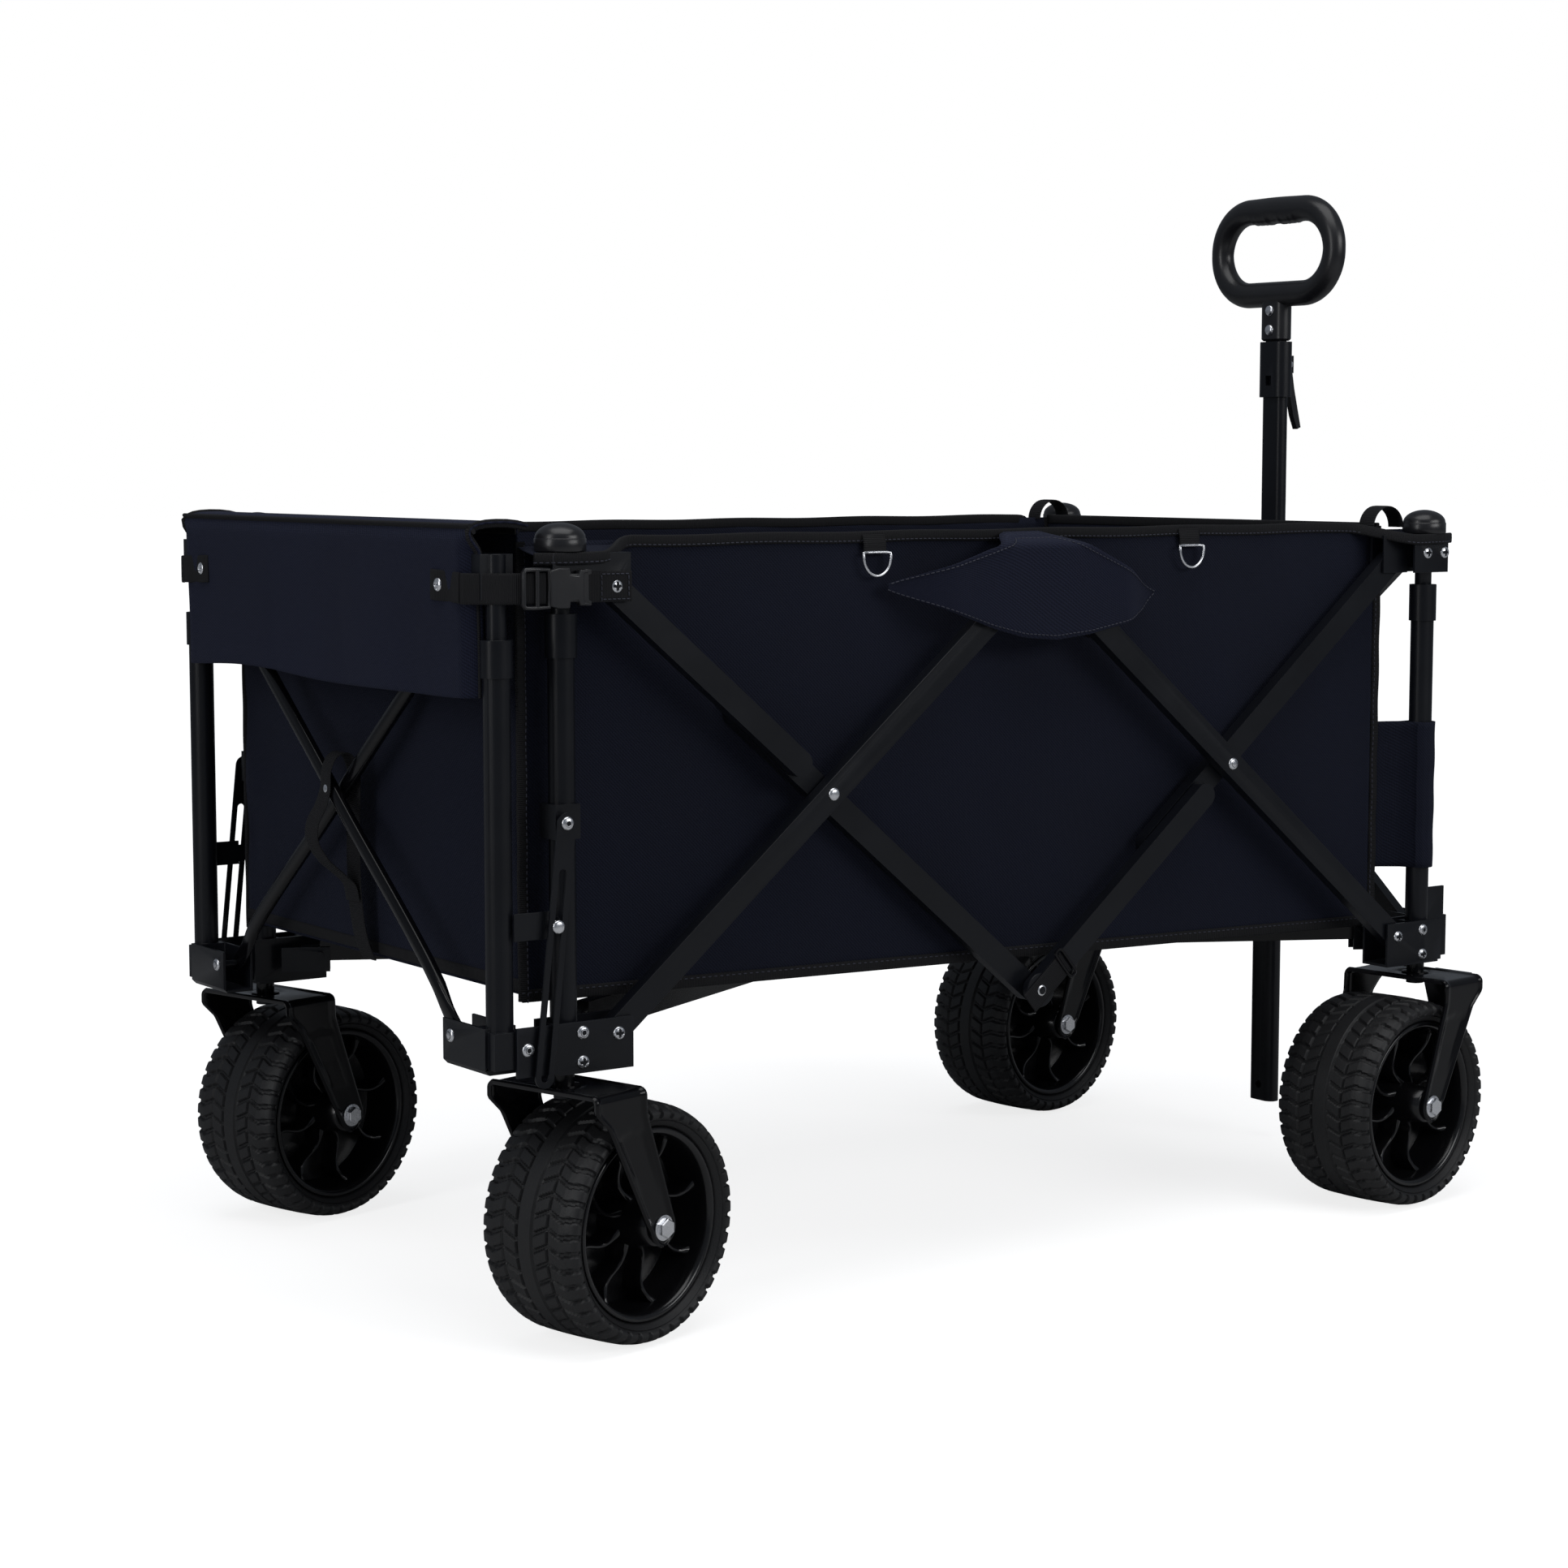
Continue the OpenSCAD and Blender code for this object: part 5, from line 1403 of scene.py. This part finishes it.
show("inner_tube", oval_tube("inner_tube", 0.0104, 0.0264, 0.330, 0.860),
     satin_black, "handle_grip")
show("grip_neck", oval_tube("grip_neck", 0.0200, 0.0350, 0.839, 0.8840, 0.0020),
     moulded_black, "handle_grip")
spread("neck_rivets", rivet_head,
       [((handle_x - 0.0100, 0.0, 0.850), facing((-1, 0, 0))),
        ((handle_x - 0.0100, 0.0, 0.870), facing((-1, 0, 0)))], zinc, "handle_grip",
       "black_steel")
grip_rise, grip_reach, grip_mid = 0.043, 0.039, 0.930
quarter = grip_rise * math.pi / 2
lap = 4 * (grip_reach + quarter)
grip_rows = []
for k in range(160):
    run = lap * k / 160
    leg = run % (lap / 2)
    flip = 1 if run < lap / 2 else -1
    if leg < grip_reach:
        y, z, ny, nz = leg, grip_rise, 0.0, 1.0
    elif leg < grip_reach + 2 * quarter:
        turn = (leg - grip_reach) / grip_rise
        y = grip_reach + grip_rise * math.sin(turn)
        z = grip_rise * math.cos(turn)
        ny, nz = math.sin(turn), math.cos(turn)
    else:
        y, z, ny, nz = grip_reach - (leg - grip_reach - 2 * quarter), -grip_rise, 0.0, -1.0
    y, z, ny, nz = y * flip, z * flip, ny * flip, nz * flip
    swell = 0.0008 * math.exp(-(y / 0.03) ** 2) if z > 0.04 else 0.0
    thin_down = 0.0012 * (1 - abs(nz))
    row = []
    for s in range(32):
        angle = 2 * math.pi * s / 32
        out, flat = math.cos(angle), math.sin(angle)
        r = 0.0130 + swell - thin_down
        if z > 0.035 and out < -0.25:
            inside = soft_step(-out, 0.25, 0.55)
            block = soft_step(abs(y), 0.006, 0.008) * (1 - soft_step(abs(y), 0.031, 0.033))
            r += 0.0011 * inside * block
            r -= 0.0009 * inside * block * (0.5 + 0.5 * math.cos(
                2 * math.pi * abs(y) / 0.0045)) ** 4
        row.append(Vector((handle_x + r * flat * 0.94, y + ny * r * out,
                           grip_mid + z + nz * r * out)))
    grip_rows.append(row)
grip = show("grip_loop", outward(skin("grip_loop", grip_rows, wrap=True, loop=True)),
            moulded_black, "handle_grip", 60.0)
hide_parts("handle_grip")
for node in ("stay_pin_r", "stay_pin_l"):
    eased_steel(node, zinc, 0.0003)

low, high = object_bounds()
